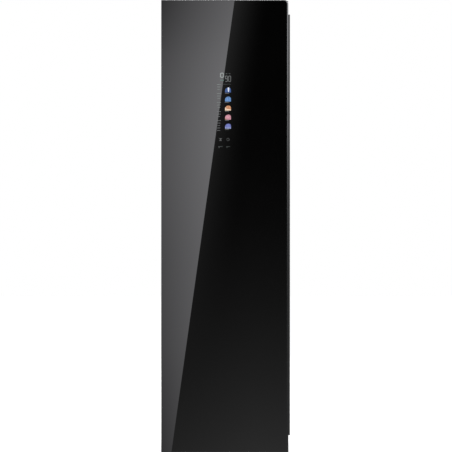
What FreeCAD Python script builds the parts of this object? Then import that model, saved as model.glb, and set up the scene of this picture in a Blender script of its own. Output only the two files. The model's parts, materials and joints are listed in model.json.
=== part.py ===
"""Clothes care steam cabinet: a tall sheet steel carcass with an insulated garment compartment, a full height
glass door on pivot hinges, a shaking hanger rail, two water tanks and a heat pump bay under the compartment.

Row frame: +Z up, the door faces -Y, the hinges are on the -X side. The origin is on the floor, in the middle of
the carcass width and of the depth over the door. Lengths are millimetres.
"""

import FreeCAD, Part
import math
import os
import re

import Sketcher

# ---------------------------------------------------------------- driving sizes
SIZES = {
    # carcass
    "cab_width": 530,  # outside width of the carcass and of the door
    "cab_depth": 541,  # carcass only, without the door
    "cab_top": 1900,  # top of the carcass and of the door above the floor
    "foot_height": 12,
    "skin": 1,  # outer sheet steel
    "return_lip": 12,  # folded edge of a side panel, front and rear
    "pan_thick": 1.5,
    "pan_lip": 25,
    "top_lip": 15,
    # feet
    "foot_radius": 19,
    "foot_pad": 7,
    "nut_radius": 8,
    "stud_radius": 4,
    "stud_over": 8,  # end of the stud above its boss
    "boss_radius": 10,
    "boss_height": 12,
    "foot_inset_side": 35,
    "foot_inset_end": 45,
    # screws that hold the rear sheets
    "screw_radius": 2,
    "screw_head": 4,
    "screw_rise": 1.5,
    "screw_depth": 4,
    "screw_inset": 60,  # first and last screw from the ends of a sheet
    # mains inlet
    "inlet_inset": 75,
    "inlet_height": 80,
    "inlet_half": 14,
    "inlet_half_height": 10,
    "inlet_depth": 24,
    "inlet_recess": 15,
    "inlet_rim": 4,
    "inlet_wall": 3,
    "pin_wire": 1.2,
    "pin_pitch": 6,
    # louvres of the service cover
    "louvre_inner": 20,
    "louvre_outer": 130,
    "louvre_foot": 140,
    "louvre_height": 5,
    "louvre_pitch": 14,
    # garment compartment
    "side_wall": 30,  # outside of the carcass to the inside of the liner
    "rear_space": 62,  # inside of the liner to the back of the carcass
    "cavity_floor": 430,
    "roof_space": 120,  # compartment ceiling to the top of the carcass
    "liner_wall": 2.5,
    "floor_foam": 21,
    "roof_foam": 20,
    "rear_foam": 30,
    "deck_thick": 1.5,
    "deck_lip": 20,
    "rib_size": 8,
    "rib_front": 85,
    "rib_rear": 30,
    # air outlet, lamp and steam nozzle
    "grille_half": 80,
    "grille_rise": 25,
    "grille_height": 80,
    "grille_rim": 12,
    "grille_thick": 3,
    "grille_slit": 6,
    "lamp_half": 58,
    "lamp_front": 30,
    "lamp_depth": 30,
    "lamp_rim": 8,
    "lamp_drop": 4,
    "steam_rise": 50,
    "steam_bore": 7,
    "nozzle_radius": 22,
    "nozzle_thick": 8,
    "nozzle_jet": 2,
    "nozzle_ring": 9,
    # shelf
    "shelf_rise": 40,
    "shelf_thick": 8,
    "shelf_gap": 2,
    "shelf_border": 16,
    "shelf_slit": 14,
    # hanger rail and its drive
    "rail_drop": 40,
    "rail_radius": 10,
    "rail_wall": 1.5,
    "rail_travel": 9,
    "rail_end_gap": 4,
    "rail_clear": 0.1,
    "guide_inset": 43,
    "guide_width": 24,
    "guide_wall": 6,
    "collar_rise": 2.5,
    "collar_width": 3,
    "collar_gap": 1,
    "block_half": 20,
    "block_end": 10,
    "block_wall": 4,
    "slot_clear": 0.6,
    "slot_end": 1.5,
    "crank_throw": 18,
    "crank_pin": 4,
    "crank_rim": 5,
    "disc_thick": 8,
    "disc_gap": 6,  # compartment ceiling to the crank disc
    "drive_gap": 2,
    "peg_rise": 3,
    "spindle_radius": 6,
    "spindle_gap": 3,
    "bearing_wall": 8,
    "bearing_height": 24,
    "beam_half": 60,
    "beam_lip": 16,
    "shaft_radius": 4,
    "pulley_radius": 42,
    "motor_pulley_radius": 12,
    "pulley_height": 12,
    "pulley_gap": 6,
    "belt_thick": 2,
    "belt_height": 10,
    "belt_clear": 0.3,
    "motor_place": 110,
    "motor_radius": 30,
    "motor_height": 52,
    "cover_half": 60,
    "cover_gap": 12,
    "cover_wall": 2.5,
    "cover_clear": 1.5,
    "control_inset": 29,
    "control_width": 140,
    "control_half": 50,
    "control_height": 45,
    # hangers
    "hook_place": 120,
    "hook_gap": 0.3,
    "hook_wire": 6,
    "hook_mouth": 3,
    "neck_half": 4,
    "neck_drop": 60,
    "hanger_clear": 44.5,  # end of a hanger to the front and to the rear wall of the compartment
    "hanger_thick": 12,
    "hanger_drop": 52,
    "hanger_height": 30,
    # water tanks and their bay
    "tank_width": 160,
    "tank_gap": 14,
    "tank_depth": 140,
    "tank_foot": 62,
    "tank_height": 200,
    "tank_lid": 20,
    "tank_wall": 2.5,
    "tank_clear": 1,
    "scoop_half": 38,
    "scoop_depth": 24,
    "scoop_roof": 5,
    "scoop_floor": 2,
    "bay_wall": 3,
    "bay_rear": 7,
    "bay_leg": 8,
    "bay_leg_inset": 30,
    "fascia_gap": 5,
    # intake duct, lint filter and heat exchangers
    "duct_half": 135,
    "duct_wall": 2.5,
    "duct_foot": 190,
    "duct_front": 8,
    "duct_gap": 7,
    "duct_step_gap": 10,
    "neck_rise": 20,
    "filter_half": 129,
    "filter_front": 20,
    "filter_depth": 30,
    "filter_lift": 21.5,  # floor of the duct to the foot of the cassette
    "filter_slack": 0.5,
    "filter_wall": 3,
    "filter_rim": 5,
    "filter_cap": 4,
    "filter_grip": 30,
    "filter_grip_rise": 12,
    "exchanger_depth": 50,
    "exchanger_gap": 30,
    "fin_thick": 3,
    "tube_radius": 4,
    "pipe_rise": 60,
    # fan
    "fan_radius": 70,
    "fan_gap": 10,
    "fan_wall": 15,
    "fan_depth": 91,
    "fan_skin": 3,
    "fan_rear_gap": 12,
    "fan_deck_gap": 30,
    "wheel_gap": 14,
    "wheel_depth": 60,
    "wheel_ring": 14,
    "wheel_plate": 3,
    "hub_radius": 12,
    "hub_depth": 17,
    "blade_chord": 11,
    "blade_thick": 1.6,
    "blade_inset": 12.5,
    "fan_motor_radius": 28,
    "fan_motor_depth": 46,
    "fan_motor_gap": 4,
    # steam generator, pumps and compressor
    "boiler_inset": 29,
    "boiler_half": 60,
    "boiler_half_depth": 50,
    "boiler_rise": 28,
    "boiler_height": 80,
    "boiler_leg": 5,
    "boiler_stub": 20,
    "hose_gap": 25,  # side of the duct to the middle of the hose
    "hose_drop": 75,
    "hose_bend": 25,
    "pump_place": 50,
    "pump_half": 28,
    "pump_foot": 45,
    "pump_height": 90,
    "pump_can": 20,
    "pump_port": 5,
    "compressor_radius": 52,
    "compressor_height": 146,
    "compressor_inset": 94,
    "compressor_back": 135,
    "compressor_base": 60,
    "compressor_sheet": 3,
    "mount_radius": 9,
    "mount_height": 15,
    "mount_inset": 12,
    "pipe_radius": 4,
    "pipe_bend": 20,
    "pipe_offset": 20,
    # door
    "door_thick": 42,
    "door_gap": 7,  # back of the door to the front of the carcass
    "door_lift": 2,  # bottom of the door above the bottom of the carcass
    "glass_thick": 4,
    "rim_side": 6,  # metal seen beside the glass, handle side
    "rim_top": 4,
    "rim_foot": 4,
    "rim_hinge": 1.2,
    "corner_round": 18,  # outer corner of the door, top of the handle side
    "glass_round": 12,
    "edge_round": 2,
    "frame_wall": 3,
    "ledge_width": 16,  # the ledge that the glass is bonded to
    "ledge_thick": 2,
    "plateau_inset": 50,  # side of the door to the raised part of its liner
    "plateau_rise": 12,
    "plateau_foot": 25,
    "plateau_head": 15,
    "gasket_width": 14,
    "gasket_inset": 12,
    "gasket_clear": 0.3,
    "gasket_foot": 50,
    "gasket_head": 88,
    # hinges
    "pivot_inset": 12,
    "pivot_depth": 25,
    "pin_radius": 4,
    "pin_clear": 0.05,
    "pin_reach": 30,  # length of a pin inside its bearing
    "hole_clear": 1,
    "thrust_clear": 0.3,
    "hinge_plate": 2.5,
    "tongue_half": 9,
    "tongue_drop": 7.5,  # top of the door to the top of the hinge tongue
    "leg_width": 42,
    "leg_drop": 48,
    "leg_screw": 3.5,
    "foot_plate": 4,
    "foot_plate_half": 10,
    "foot_plate_reach": 50,
    "washer_wall": 5,
    "notch_half": 15,
    "notch_drop": 14,
    "bearing_block": 46,
    "bearing_width": 36,
    # handle
    "grip_stand": 6.4,  # how far the lip stands out of the side of the door
    "grip_setback": 6,
    "grip_back": 3.5,  # foam between the finger channel and the door liner
    "grip_reach": 19,  # depth of the finger channel into the door
    "grip_wall": 2.5,
    "grip_foot": 73,
    "grip_head": 61,
    # display
    "display_left": 38,
    "display_width": 70,
    "display_head": 294,  # top of the door to the top of the board
    "display_height": 334,
    "display_thick": 4,
    # trouser press on the door
    "press_half": 165,
    "press_rise": 170,
    "press_height": 850,
    "press_board": 10,
    "press_plate": 8,
    "press_clear": 0.5,
    "press_end": 5,
    "knuckle_radius": 5,
    "knuckle_gap": 2,
    "press_pin": 2,
    "press_ear": 10,
}

doc = FreeCAD.newDocument("steam_cabinet")
sheet = doc.addObject("Spreadsheet::Sheet", "sizes")
for row, (alias, number) in enumerate(SIZES.items(), 1):
    sheet.set(f"A{row}", alias)
    sheet.set(f"B{row}", str(number))
    sheet.setAlias(f"B{row}", alias)
doc.recompute()

NAMES = re.compile(r"\b(" + "|".join(SIZES) + r")\b")
PAST = "1"  # how far a cutting tool runs past the face that it opens
pieces = {}


# ---------------------------------------------------------------- building helpers
def bound(text):
    """An expression in which every size name points at the sheet."""
    return NAMES.sub(r"sizes.\1", str(text))


def value(text):
    """The number that an expression of size names has now."""
    return float(sheet.evalExpression(bound(text)))


def mirrored(span):
    """The same range on the other side of the middle plane."""
    return (f"-({span[1]})", f"-({span[0]})")


def both_ways(half):
    return (f"-({half})", half)


def about(middle, half):
    """A range that runs the same distance each way from its middle."""
    return (f"({middle}) - ({half})", f"({middle}) + ({half})")


def middle_of(span):
    return f"(({span[0]}) + ({span[1]})) / 2"


def inside(span, wall):
    """A range with a wall taken off both ends."""
    return (f"({span[0]}) + ({wall})", f"({span[1]}) - ({wall})")


def through(span):
    """A range that runs past both ends, for a cutting tool."""
    return (f"({span[0]}) - {PAST}", f"({span[1]}) + {PAST}")


def brick(name, x, y, z):
    """A box from its low and high limits on each axis."""
    solid = doc.addObject("Part::Box", name)
    for side, axis, (low, high) in zip(("Length", "Width", "Height"), "xyz", (x, y, z)):
        solid.setExpression(side, bound(f"({high}) - ({low})"))
        solid.setExpression(f"Placement.Base.{axis}", bound(low))
    return solid


TURNS = {
    "x": FreeCAD.Rotation(FreeCAD.Vector(0, 1, 0), 90),
    "y": FreeCAD.Rotation(FreeCAD.Vector(1, 0, 0), -90),
    "z": FreeCAD.Rotation(),
}


def rod(name, radius, axis, centre, span):
    """A cylinder along one axis; centre gives the other two coordinates in X, Y, Z order."""
    solid = doc.addObject("Part::Cylinder", name)
    solid.setExpression("Radius", bound(radius))
    solid.setExpression("Height", bound(f"({span[1]}) - ({span[0]})"))
    solid.Placement = FreeCAD.Placement(FreeCAD.Vector(), TURNS[axis])
    others = iter(centre)
    for letter in "xyz":
        place = span[0] if letter == axis else next(others)
        solid.setExpression(f"Placement.Base.{letter}", bound(place))
    return solid


def tube(name, outer, inner, axis, centre, span):
    """A straight tube that is open at both ends."""
    bar = rod(name + "_outer", outer, axis, centre, span)
    return cut(name, bar, rod(name + "_inner", inner, axis, centre, through(span)))


def fuse(name, *solids):
    joined = doc.addObject("Part::MultiFuse", name)
    joined.Shapes = list(solids)
    joined.Refine = True
    return joined


def shared(name, *solids):
    """What all the given solids have in common."""
    overlap = doc.addObject("Part::MultiCommon", name)
    overlap.Shapes = list(solids)
    return overlap


def cut(name, base, *tools):
    left = doc.addObject("Part::Cut", name)
    left.Base = base
    left.Tool = tools[0] if len(tools) == 1 else fuse(name + "_tools", *tools)
    return left


def group(name, *solids):
    """Several separate solids that share one node."""
    together = doc.addObject("Part::Compound", name)
    together.Links = list(solids)
    return together


def node(label, made):
    """Names a finished sub-part; its label names its file."""
    made.Label = label
    pieces[label] = made


def new_body(name):
    return doc.addObject("PartDesign::Body", name)


def new_sketch(body, name, role, offset):
    """A sketch on one of the body's own origin planes, moved along the plane's normal."""
    drawing = body.newObject("Sketcher::SketchObject", name)
    plane = next(p for p in body.Origin.OriginFeatures if p.Role == role)
    drawing.AttachmentSupport = [(plane, "")]
    drawing.MapMode = "FlatFace"
    drawing.setExpression("AttachmentOffset.Base.z", bound(offset))
    return drawing


def hold(drawing, name, constraint, limit):
    """Adds one named dimension and binds it to an expression."""
    drawing.renameConstraint(drawing.addConstraint(constraint), name)
    drawing.setExpression(f"Constraints.{name}", bound(limit))


def draw_rectangle(drawing, across, up):
    """A rectangle held by its four distances from the sketch origin."""
    first = drawing.GeometryCount
    corners = [FreeCAD.Vector(*p, 0) for p in ((0, 0), (10, 0), (10, 10), (0, 10))]
    for i in range(4):
        drawing.addGeometry(Part.LineSegment(corners[i], corners[(i + 1) % 4]), False)
    for i in range(4):
        drawing.addConstraint(Sketcher.Constraint("Coincident", first + i, 2, first + (i + 1) % 4, 1))
        drawing.addConstraint(Sketcher.Constraint(("Horizontal", "Vertical")[i % 2], first + i))
    for line, end in ((first, 0), (first + 2, 1)):
        hold(drawing, f"across{line}", Sketcher.Constraint("DistanceX", -1, 1, line, 1, 1.0), across[end])
        hold(drawing, f"up{line}", Sketcher.Constraint("DistanceY", -1, 1, line, 1, 1.0), up[end])


def draw_circle(drawing, across, up, radius):
    """A circle held by its centre's distances from the sketch origin."""
    ring = drawing.addGeometry(Part.Circle(FreeCAD.Vector(), FreeCAD.Vector(0, 0, 1), 5), False)
    hold(drawing, f"across{ring}", Sketcher.Constraint("DistanceX", -1, 1, ring, 3, 1.0), across)
    hold(drawing, f"up{ring}", Sketcher.Constraint("DistanceY", -1, 1, ring, 3, 1.0), up)
    hold(drawing, f"radius{ring}", Sketcher.Constraint("Radius", ring, 5), radius)


def pad(body, name, drawing, length):
    feature = body.newObject("PartDesign::Pad", name)
    feature.Profile = drawing
    feature.setExpression("Length", bound(length))
    doc.recompute()
    return feature


def pocket(body, name, drawing, depth):
    feature = body.newObject("PartDesign::Pocket", name)
    feature.Profile = drawing
    feature.setExpression("Length", bound(depth))
    doc.recompute()
    return feature


def repeat(body, feature, drawing, direction, length, count):
    """Repeats a feature along an axis of its sketch, evenly over a length."""
    pattern = body.newObject("PartDesign::LinearPattern", feature.Name + "_row")
    pattern.Originals = [feature]
    pattern.Direction = (drawing, [direction])
    pattern.setExpression("Length", bound(length))
    pattern.Occurrences = count
    body.Tip = pattern
    doc.recompute()


def edges_along_y(feature, spots):
    """Names of the feature's edges that run along Y through the given X and Z."""
    found = []
    for number, edge in enumerate(feature.Shape.Edges, 1):
        ends = [v.Point for v in edge.Vertexes]
        if len(ends) == 2 and abs(abs(ends[1].y - ends[0].y) - edge.Length) < 1e-6:
            if any(math.dist((ends[0].x, ends[0].z), spot) < 0.01 for spot in spots):
                found.append(f"Edge{number}")
    return found


def round_edges(body, name, feature, spots, radius):
    """Rounds the feature's edges that run along Y through the given X and Z."""
    made = body.newObject("PartDesign::Fillet", name)
    made.Base = (feature, edges_along_y(feature, spots))
    made.setExpression("Radius", bound(radius))
    doc.recompute()
    return made


def bent_pipe(name, points, bends, radius):
    """A solid rod along corner points, each corner rounded by the bend radius given for it."""
    corners = [FreeCAD.Vector(*p) for p in points]
    edges = []
    start = corners[0]
    for before, here, after, bend in zip(corners, corners[1:], corners[2:], bends):
        into = (here - before).normalize()
        out = (after - here).normalize()
        reach = bend * math.tan(into.getAngle(out) / 2)
        first = here - into * reach
        last = here + out * reach
        middle = here + (out - into).normalize() * (math.hypot(bend, reach) - bend)
        edges.append(Part.LineSegment(start, first).toShape())
        edges.append(Part.Arc(first, middle, last).toShape())
        start = last
    edges.append(Part.LineSegment(start, corners[-1]).toShape())
    ring = Part.Wire(Part.makeCircle(radius, corners[0], (corners[1] - corners[0]).normalize()))
    made = doc.addObject("Part::Feature", name)
    made.Shape = Part.Wire(edges).makePipeShell([ring], True, False)
    return made


# ---------------------------------------------------------------- reference planes, as expressions
HALF = "(cab_width / 2)"
DOOR_FACE = "(-(door_thick + door_gap + cab_depth) / 2)"
DOOR_BACK = f"({DOOR_FACE} + door_thick)"
FRONT = f"({DOOR_BACK} + door_gap)"
REAR = f"({FRONT} + cab_depth)"
SHELL_TOP = "(cab_top - skin)"
PAN_TOP = "(foot_height + pan_thick)"
INSIDE = f"({HALF} - skin)"  # inner face of a side panel
PANEL_BACK = f"({REAR} - skin)"  # outer face of the back panel
PANEL_FRONT = f"({REAR} - 2 * skin)"
LIP_EDGE = f"({HALF} - return_lip)"
CAVITY_HALF = f"({HALF} - side_wall)"
LINER_OUT = f"({CAVITY_HALF} + liner_wall)"
CAVITY_BACK = f"({REAR} - rear_space)"
CAVITY_ROOF = "(cab_top - roof_space)"
LINER_FOOT = "(cavity_floor - liner_wall)"
LINER_HEAD = f"({CAVITY_ROOF} + liner_wall)"
LINER_BACK = f"({CAVITY_BACK} + liner_wall)"
FOAM_BACK = f"({LINER_BACK} + rear_foam)"
DECK_TOP = f"({LINER_FOOT} - floor_foam)"
DECK_FOOT = f"({DECK_TOP} - deck_thick)"
ROOF_FLOOR = f"({LINER_HEAD} + roof_foam)"
FLANGE_BACK = f"({FRONT} + liner_wall)"
FLANGE_HEAD = f"({SHELL_TOP} - top_lip)"
DOOR_FOOT = "(foot_height + door_lift)"
PIVOT_X = f"(-{HALF} + pivot_inset)"
PIVOT_Y = f"({DOOR_FACE} + pivot_depth)"
RAIL_Y = f"(({FRONT} + {CAVITY_BACK}) / 2)"
RAIL_Z = f"({CAVITY_ROOF} - rail_drop)"

# ================================================================ carcass
# ---- base pan: a folded tray with four bosses for the feet
FOOT_X = f"({HALF} - foot_inset_side)"
FOOT_FRONT_Y = f"({FRONT} + foot_inset_end)"
FOOT_REAR_Y = f"({REAR} - foot_inset_end)"
FOOT_SPOTS = [(x, y) for x in (f"-{FOOT_X}", FOOT_X) for y in (FOOT_FRONT_Y, FOOT_REAR_Y)]
BOSS_TOP = f"({PAN_TOP} + boss_height)"
INNER_Y = (f"{FRONT} + skin", PANEL_FRONT)

pan = new_body("pan_body")
pan_outline = new_sketch(pan, "pan_outline", "XY_Plane", "foot_height")
draw_rectangle(pan_outline, both_ways(INSIDE), INNER_Y)
pad(pan, "pan_block", pan_outline, "pan_lip")
pan_inside = new_sketch(pan, "pan_inside", "XY_Plane", "foot_height + pan_lip")
draw_rectangle(pan_inside, both_ways(f"{INSIDE} - pan_thick"), inside(INNER_Y, "pan_thick"))
pocket(pan, "pan_hollow", pan_inside, "pan_lip - pan_thick")
pan_bosses = new_sketch(pan, "pan_bosses", "XY_Plane", PAN_TOP)
pan_bores = new_sketch(pan, "pan_bores", "XY_Plane", BOSS_TOP)
for x, y in FOOT_SPOTS:
    draw_circle(pan_bosses, x, y, "boss_radius")
    draw_circle(pan_bores, x, y, "stud_radius + pin_clear")
pad(pan, "pan_boss", pan_bosses, "boss_height")
pocket(pan, "pan_bore", pan_bores, f"boss_height + pan_thick + {PAST}")
node("base_pan", pan)


# ---- feet: pad, locknut and stud in one; the front two are screwed up and down to level the cabinet
def foot(name, x, y):
    nut_top = "foot_height - thrust_clear"
    return fuse(
        name,
        rod(name + "_pad", "foot_radius", "z", (x, y), ("0", "foot_pad")),
        rod(name + "_nut", "nut_radius", "z", (x, y), ("foot_pad", nut_top)),
        rod(name + "_stud", "stud_radius", "z", (x, y), (nut_top, f"{BOSS_TOP} + stud_over")),
    )


node("front_foot_left", foot("foot_front_left", f"-{FOOT_X}", FOOT_FRONT_Y))
node("front_foot_right", foot("foot_front_right", FOOT_X, FOOT_FRONT_Y))
rear_pair = [foot(f"foot_rear_{i}", x, FOOT_REAR_Y) for i, x in enumerate((f"-{FOOT_X}", FOOT_X))]
node("rear_feet", group("rear_feet_pair", *rear_pair))


# ---- rear screws: a column on each side, through the folded edges of the side panels
def even_heights(low, high, count):
    """Heights spread evenly between the first and the last screw of one sheet."""
    first = f"({low} + screw_inset)"
    last = f"({high} - screw_inset)"
    return [f"{first} + {i} * ({last} - {first}) / {count - 1}" for i in range(count)]


SCREW_HEIGHTS = even_heights("foot_height", DECK_FOOT, 3) + even_heights(DECK_FOOT, SHELL_TOP, 5)
SCREW_X = f"({HALF} - return_lip / 2)"
SCREW_SPOTS = [(x, z) for x in (f"-{SCREW_X}", SCREW_X) for z in SCREW_HEIGHTS]
REAR_SHEETS = (PANEL_FRONT, REAR)
screw_holes = group(
    "screw_holes",
    *[
        rod(f"screw_hole_{i}", "screw_radius", "y", spot, through(REAR_SHEETS))
        for i, spot in enumerate(SCREW_SPOTS)
    ],
)
screws = []
for i, spot in enumerate(SCREW_SPOTS):
    shank = rod(f"screw_shank_{i}", "screw_radius", "y", spot, (f"{PANEL_FRONT} - screw_depth", REAR))
    head = rod(f"screw_head_{i}", "screw_head", "y", spot, (REAR, f"{REAR} + screw_rise"))
    screws.append(fuse(f"screw_{i}", shank, head))
node("panel_screws", group("screw_group", *screws))


# ---- side panels: one sheet each, folded in at the front and the rear
def side_panel(name, mirror):
    outer = (LIP_EDGE, HALF)
    hollow = (f"{LIP_EDGE} - {PAST}", INSIDE)
    if mirror:
        outer = mirrored(outer)
        hollow = mirrored(hollow)
    height = ("foot_height", SHELL_TOP)
    block = brick(name + "_block", outer, (FRONT, REAR), height)
    room = brick(name + "_room", hollow, (f"{FRONT} + skin", PANEL_BACK), through(height))
    return cut(name, block, room, screw_holes)


node("left_side_panel", side_panel("side_left", True))
node("right_side_panel", side_panel("side_right", False))

# ---- top cover: a lid whose lips reach down inside the side panels
lid = new_body("lid_body")
lid_outline = new_sketch(lid, "lid_outline", "XY_Plane", SHELL_TOP)
draw_rectangle(lid_outline, both_ways(HALF), (FRONT, REAR))
pad(lid, "lid_sheet", lid_outline, "skin")
lip_outline = new_sketch(lid, "lip_outline", "XY_Plane", FLANGE_HEAD)
draw_rectangle(lip_outline, both_ways(INSIDE), INNER_Y)
draw_rectangle(lip_outline, both_ways(f"{INSIDE} - skin"), inside(INNER_Y, "skin"))
pad(lid, "lid_lips", lip_outline, "top_lip")
node("top_cover", lid)

# ---- back panel and service cover: flat sheets screwed to the side panels
back_sheet = brick("back_sheet", both_ways(INSIDE), (PANEL_FRONT, PANEL_BACK), (DECK_FOOT, SHELL_TOP))
node("back_panel", cut("back_panel_cut", back_sheet, screw_holes))

INLET_SPOT = f"({HALF} - inlet_inset)"
INLET_X = about(INLET_SPOT, "inlet_half")
INLET_Z = about("inlet_height", "inlet_half_height")
LOUVRE_X = ("louvre_inner", "louvre_outer")
LOUVRES = 12
service = new_body("service_body")
service_outline = new_sketch(service, "service_outline", "XZ_Plane", f"-{PANEL_BACK}")
draw_rectangle(service_outline, both_ways(INSIDE), ("foot_height", DECK_FOOT))
pad(service, "service_sheet", service_outline, "skin")
louvre_outline = new_sketch(service, "louvre_outline", "XZ_Plane", f"-{PANEL_FRONT}")
for span in (LOUVRE_X, mirrored(LOUVRE_X)):
    draw_rectangle(louvre_outline, span, ("louvre_foot", "louvre_foot + louvre_height"))
louvre = pocket(service, "louvre", louvre_outline, f"skin + {PAST}")
repeat(service, louvre, louvre_outline, "V_Axis", f"{LOUVRES - 1} * louvre_pitch", LOUVRES)
inlet_hole = brick("inlet_hole", INLET_X, through(REAR_SHEETS), INLET_Z)
node("service_cover", cut("service_cover_cut", service, screw_holes, inlet_hole))

# ---- mains inlet: a socket through the service cover, with its flange and three pins
RECESS_FLOOR = f"({PANEL_BACK} - inlet_recess)"
FLANGE_FACE = f"({PANEL_BACK} + inlet_rim / 2)"
socket = fuse(
    "inlet_outer",
    brick("inlet_body", INLET_X, (f"{PANEL_FRONT} - inlet_depth", PANEL_BACK), INLET_Z),
    brick(
        "inlet_flange",
        about(INLET_SPOT, "inlet_half + 2 * inlet_rim"),
        (PANEL_BACK, FLANGE_FACE),
        about("inlet_height", "inlet_half_height + inlet_rim"),
    ),
)
recess = brick(
    "inlet_room",
    inside(INLET_X, "inlet_wall"),
    (RECESS_FLOOR, f"{FLANGE_FACE} + {PAST}"),
    inside(INLET_Z, "inlet_wall"),
)
inlet_pins = [
    rod(
        f"inlet_pin_{i}",
        "pin_wire",
        "y",
        (f"{INLET_SPOT} + {i - 1} * pin_pitch", f"inlet_height + ({up}) * pin_pitch / 3"),
        (f"{RECESS_FLOOR} - {PAST}", f"{PANEL_BACK} - inlet_rim"),
    )
    for i, up in enumerate((-1, 1, -1))
]
node("power_inlet", fuse("inlet_whole", cut("inlet_socket", socket, recess), *inlet_pins))

# ================================================================ garment compartment
# ---- openings that the liner, the foam and the deck share
SLOT_Y = (f"({FRONT} + filter_front)", f"({FRONT} + filter_front + filter_depth)")
GRILLE_Z = ("(cavity_floor + grille_rise)", "(cavity_floor + grille_rise + grille_height)")
LAMP_Y = (f"({FRONT} + lamp_front)", f"({FRONT} + lamp_front + lamp_depth)")
NECK_HALF = "(grille_half + duct_wall)"
NECK_TOP = f"({GRILLE_Z[1]} + neck_rise)"
NECK_Y = (LINER_BACK, f"({PANEL_FRONT} - fan_rear_gap)")
STEAM_STUB = "(steam_bore + hole_clear)"
STEAM_X = "(-(duct_half + hose_gap))"
STEAM_Z = "(cavity_floor + steam_rise)"
HOSE_Y = f"(({FOAM_BACK} + {PANEL_FRONT}) / 2)"


def filter_slot(name, z, grow="0"):
    """A block as wide and deep as the lint filter's slot, or larger all round."""
    deep = inside(SLOT_Y, f"-({grow})")
    return brick(name, both_ways(f"filter_half + {grow}"), deep, z)


def steam_hole(name, span):
    return rod(name, STEAM_STUB, "y", (STEAM_X, STEAM_Z), through(span))


def spindle_hole(name, span, grow="0"):
    return rod(name, f"spindle_radius + spindle_gap + {grow}", "z", ("0", RAIL_Y), through(span))


# ---- liner: five moulded panels that clip together, with a flange at the front and two rails for the shelf
SHELF_Z = "(cavity_floor + shelf_rise)"
SHELF_RAIL_X = (f"{CAVITY_HALF} - rib_size", CAVITY_HALF)
RIB_Y = (f"({FRONT} + rib_front)", f"({CAVITY_BACK} - rib_rear)")
RIB_Z = (f"{SHELF_Z} - rib_size", SHELF_Z)
REAR_WALL = (CAVITY_BACK, LINER_BACK)
CEILING = (CAVITY_ROOF, LINER_HEAD)
LINER_Z = (LINER_FOOT, LINER_HEAD)
PANEL_Y = (FRONT, CAVITY_BACK)
FLANGE_Y = (FRONT, FLANGE_BACK)
FLANGE_Z = (DECK_TOP, FLANGE_HEAD)


def side_liner(name, wall, flange):
    wall_sheet = brick(name + "_wall", wall, PANEL_Y, LINER_Z)
    return fuse(name, wall_sheet, brick(name + "_flange", flange, FLANGE_Y, FLANGE_Z))


def flat_liner(name, wall_z, flange_z):
    wall_sheet = brick(name + "_wall", both_ways(CAVITY_HALF), PANEL_Y, wall_z)
    return fuse(name, wall_sheet, brick(name + "_flange", both_ways(CAVITY_HALF), FLANGE_Y, flange_z))


WALL_X = (CAVITY_HALF, LINER_OUT)
SIDE_FLANGE_X = (CAVITY_HALF, LIP_EDGE)
floor_liner = cut(
    "floor_liner_cut",
    flat_liner("floor_liner", (LINER_FOOT, "cavity_floor"), (DECK_TOP, "cavity_floor")),
    filter_slot("liner_slot", through((LINER_FOOT, "cavity_floor"))),
)
roof_liner = cut(
    "roof_liner_cut",
    flat_liner("roof_liner", CEILING, (CAVITY_ROOF, FLANGE_HEAD)),
    brick("liner_lamp", both_ways("lamp_half"), LAMP_Y, through(CEILING)),
    spindle_hole("liner_spindle", CEILING),
)
rear_liner = cut(
    "rear_liner_cut",
    brick("rear_liner", both_ways(LINER_OUT), REAR_WALL, LINER_Z),
    brick("liner_grille", both_ways("grille_half"), through(REAR_WALL), GRILLE_Z),
    steam_hole("liner_steam", REAR_WALL),
)
liner_panels = group(
    "liner_panels",
    side_liner("left_liner", mirrored(WALL_X), mirrored(SIDE_FLANGE_X)),
    side_liner("right_liner", WALL_X, SIDE_FLANGE_X),
    floor_liner,
    roof_liner,
    rear_liner,
    brick("shelf_rail_left", mirrored(SHELF_RAIL_X), RIB_Y, RIB_Z),
    brick("shelf_rail_right", SHELF_RAIL_X, RIB_Y, RIB_Z),
)
node("compartment_liner", liner_panels)

# ---- insulation: five foam slabs round the liner
SIDE_SLAB = (LINER_OUT, INSIDE)
REAR_SLAB = (LINER_BACK, FOAM_BACK)
ROOF_SLAB = (LINER_HEAD, ROOF_FLOOR)
FLOOR_SLAB = (DECK_TOP, LINER_FOOT)
SLAB_Z = (DECK_TOP, ROOF_FLOOR)
foam_right = brick("foam_right", SIDE_SLAB, (FLANGE_BACK, FOAM_BACK), SLAB_Z)
foam_left = brick("foam_left", mirrored(SIDE_SLAB), (FLANGE_BACK, FOAM_BACK), SLAB_Z)
foam_rear = cut(
    "foam_rear",
    brick("foam_rear_slab", both_ways(LINER_OUT), REAR_SLAB, SLAB_Z),
    brick("foam_neck", both_ways(NECK_HALF), through(REAR_SLAB), (f"{DECK_TOP} - {PAST}", NECK_TOP)),
    steam_hole("foam_steam", REAR_SLAB),
)
foam_roof = cut(
    "foam_roof",
    brick("foam_roof_slab", both_ways(LINER_OUT), (FLANGE_BACK, LINER_BACK), ROOF_SLAB),
    brick("foam_lamp", both_ways("lamp_half"), LAMP_Y, through(ROOF_SLAB)),
    spindle_hole("foam_spindle", ROOF_SLAB, "spindle_gap"),
)
foam_floor = cut(
    "foam_floor",
    brick("foam_floor_slab", both_ways(LINER_OUT), (FLANGE_BACK, LINER_BACK), FLOOR_SLAB),
    filter_slot("foam_slot", through(FLOOR_SLAB), "duct_wall"),
)
node("insulation", group("foam_slabs", foam_left, foam_right, foam_rear, foam_roof, foam_floor))

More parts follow.
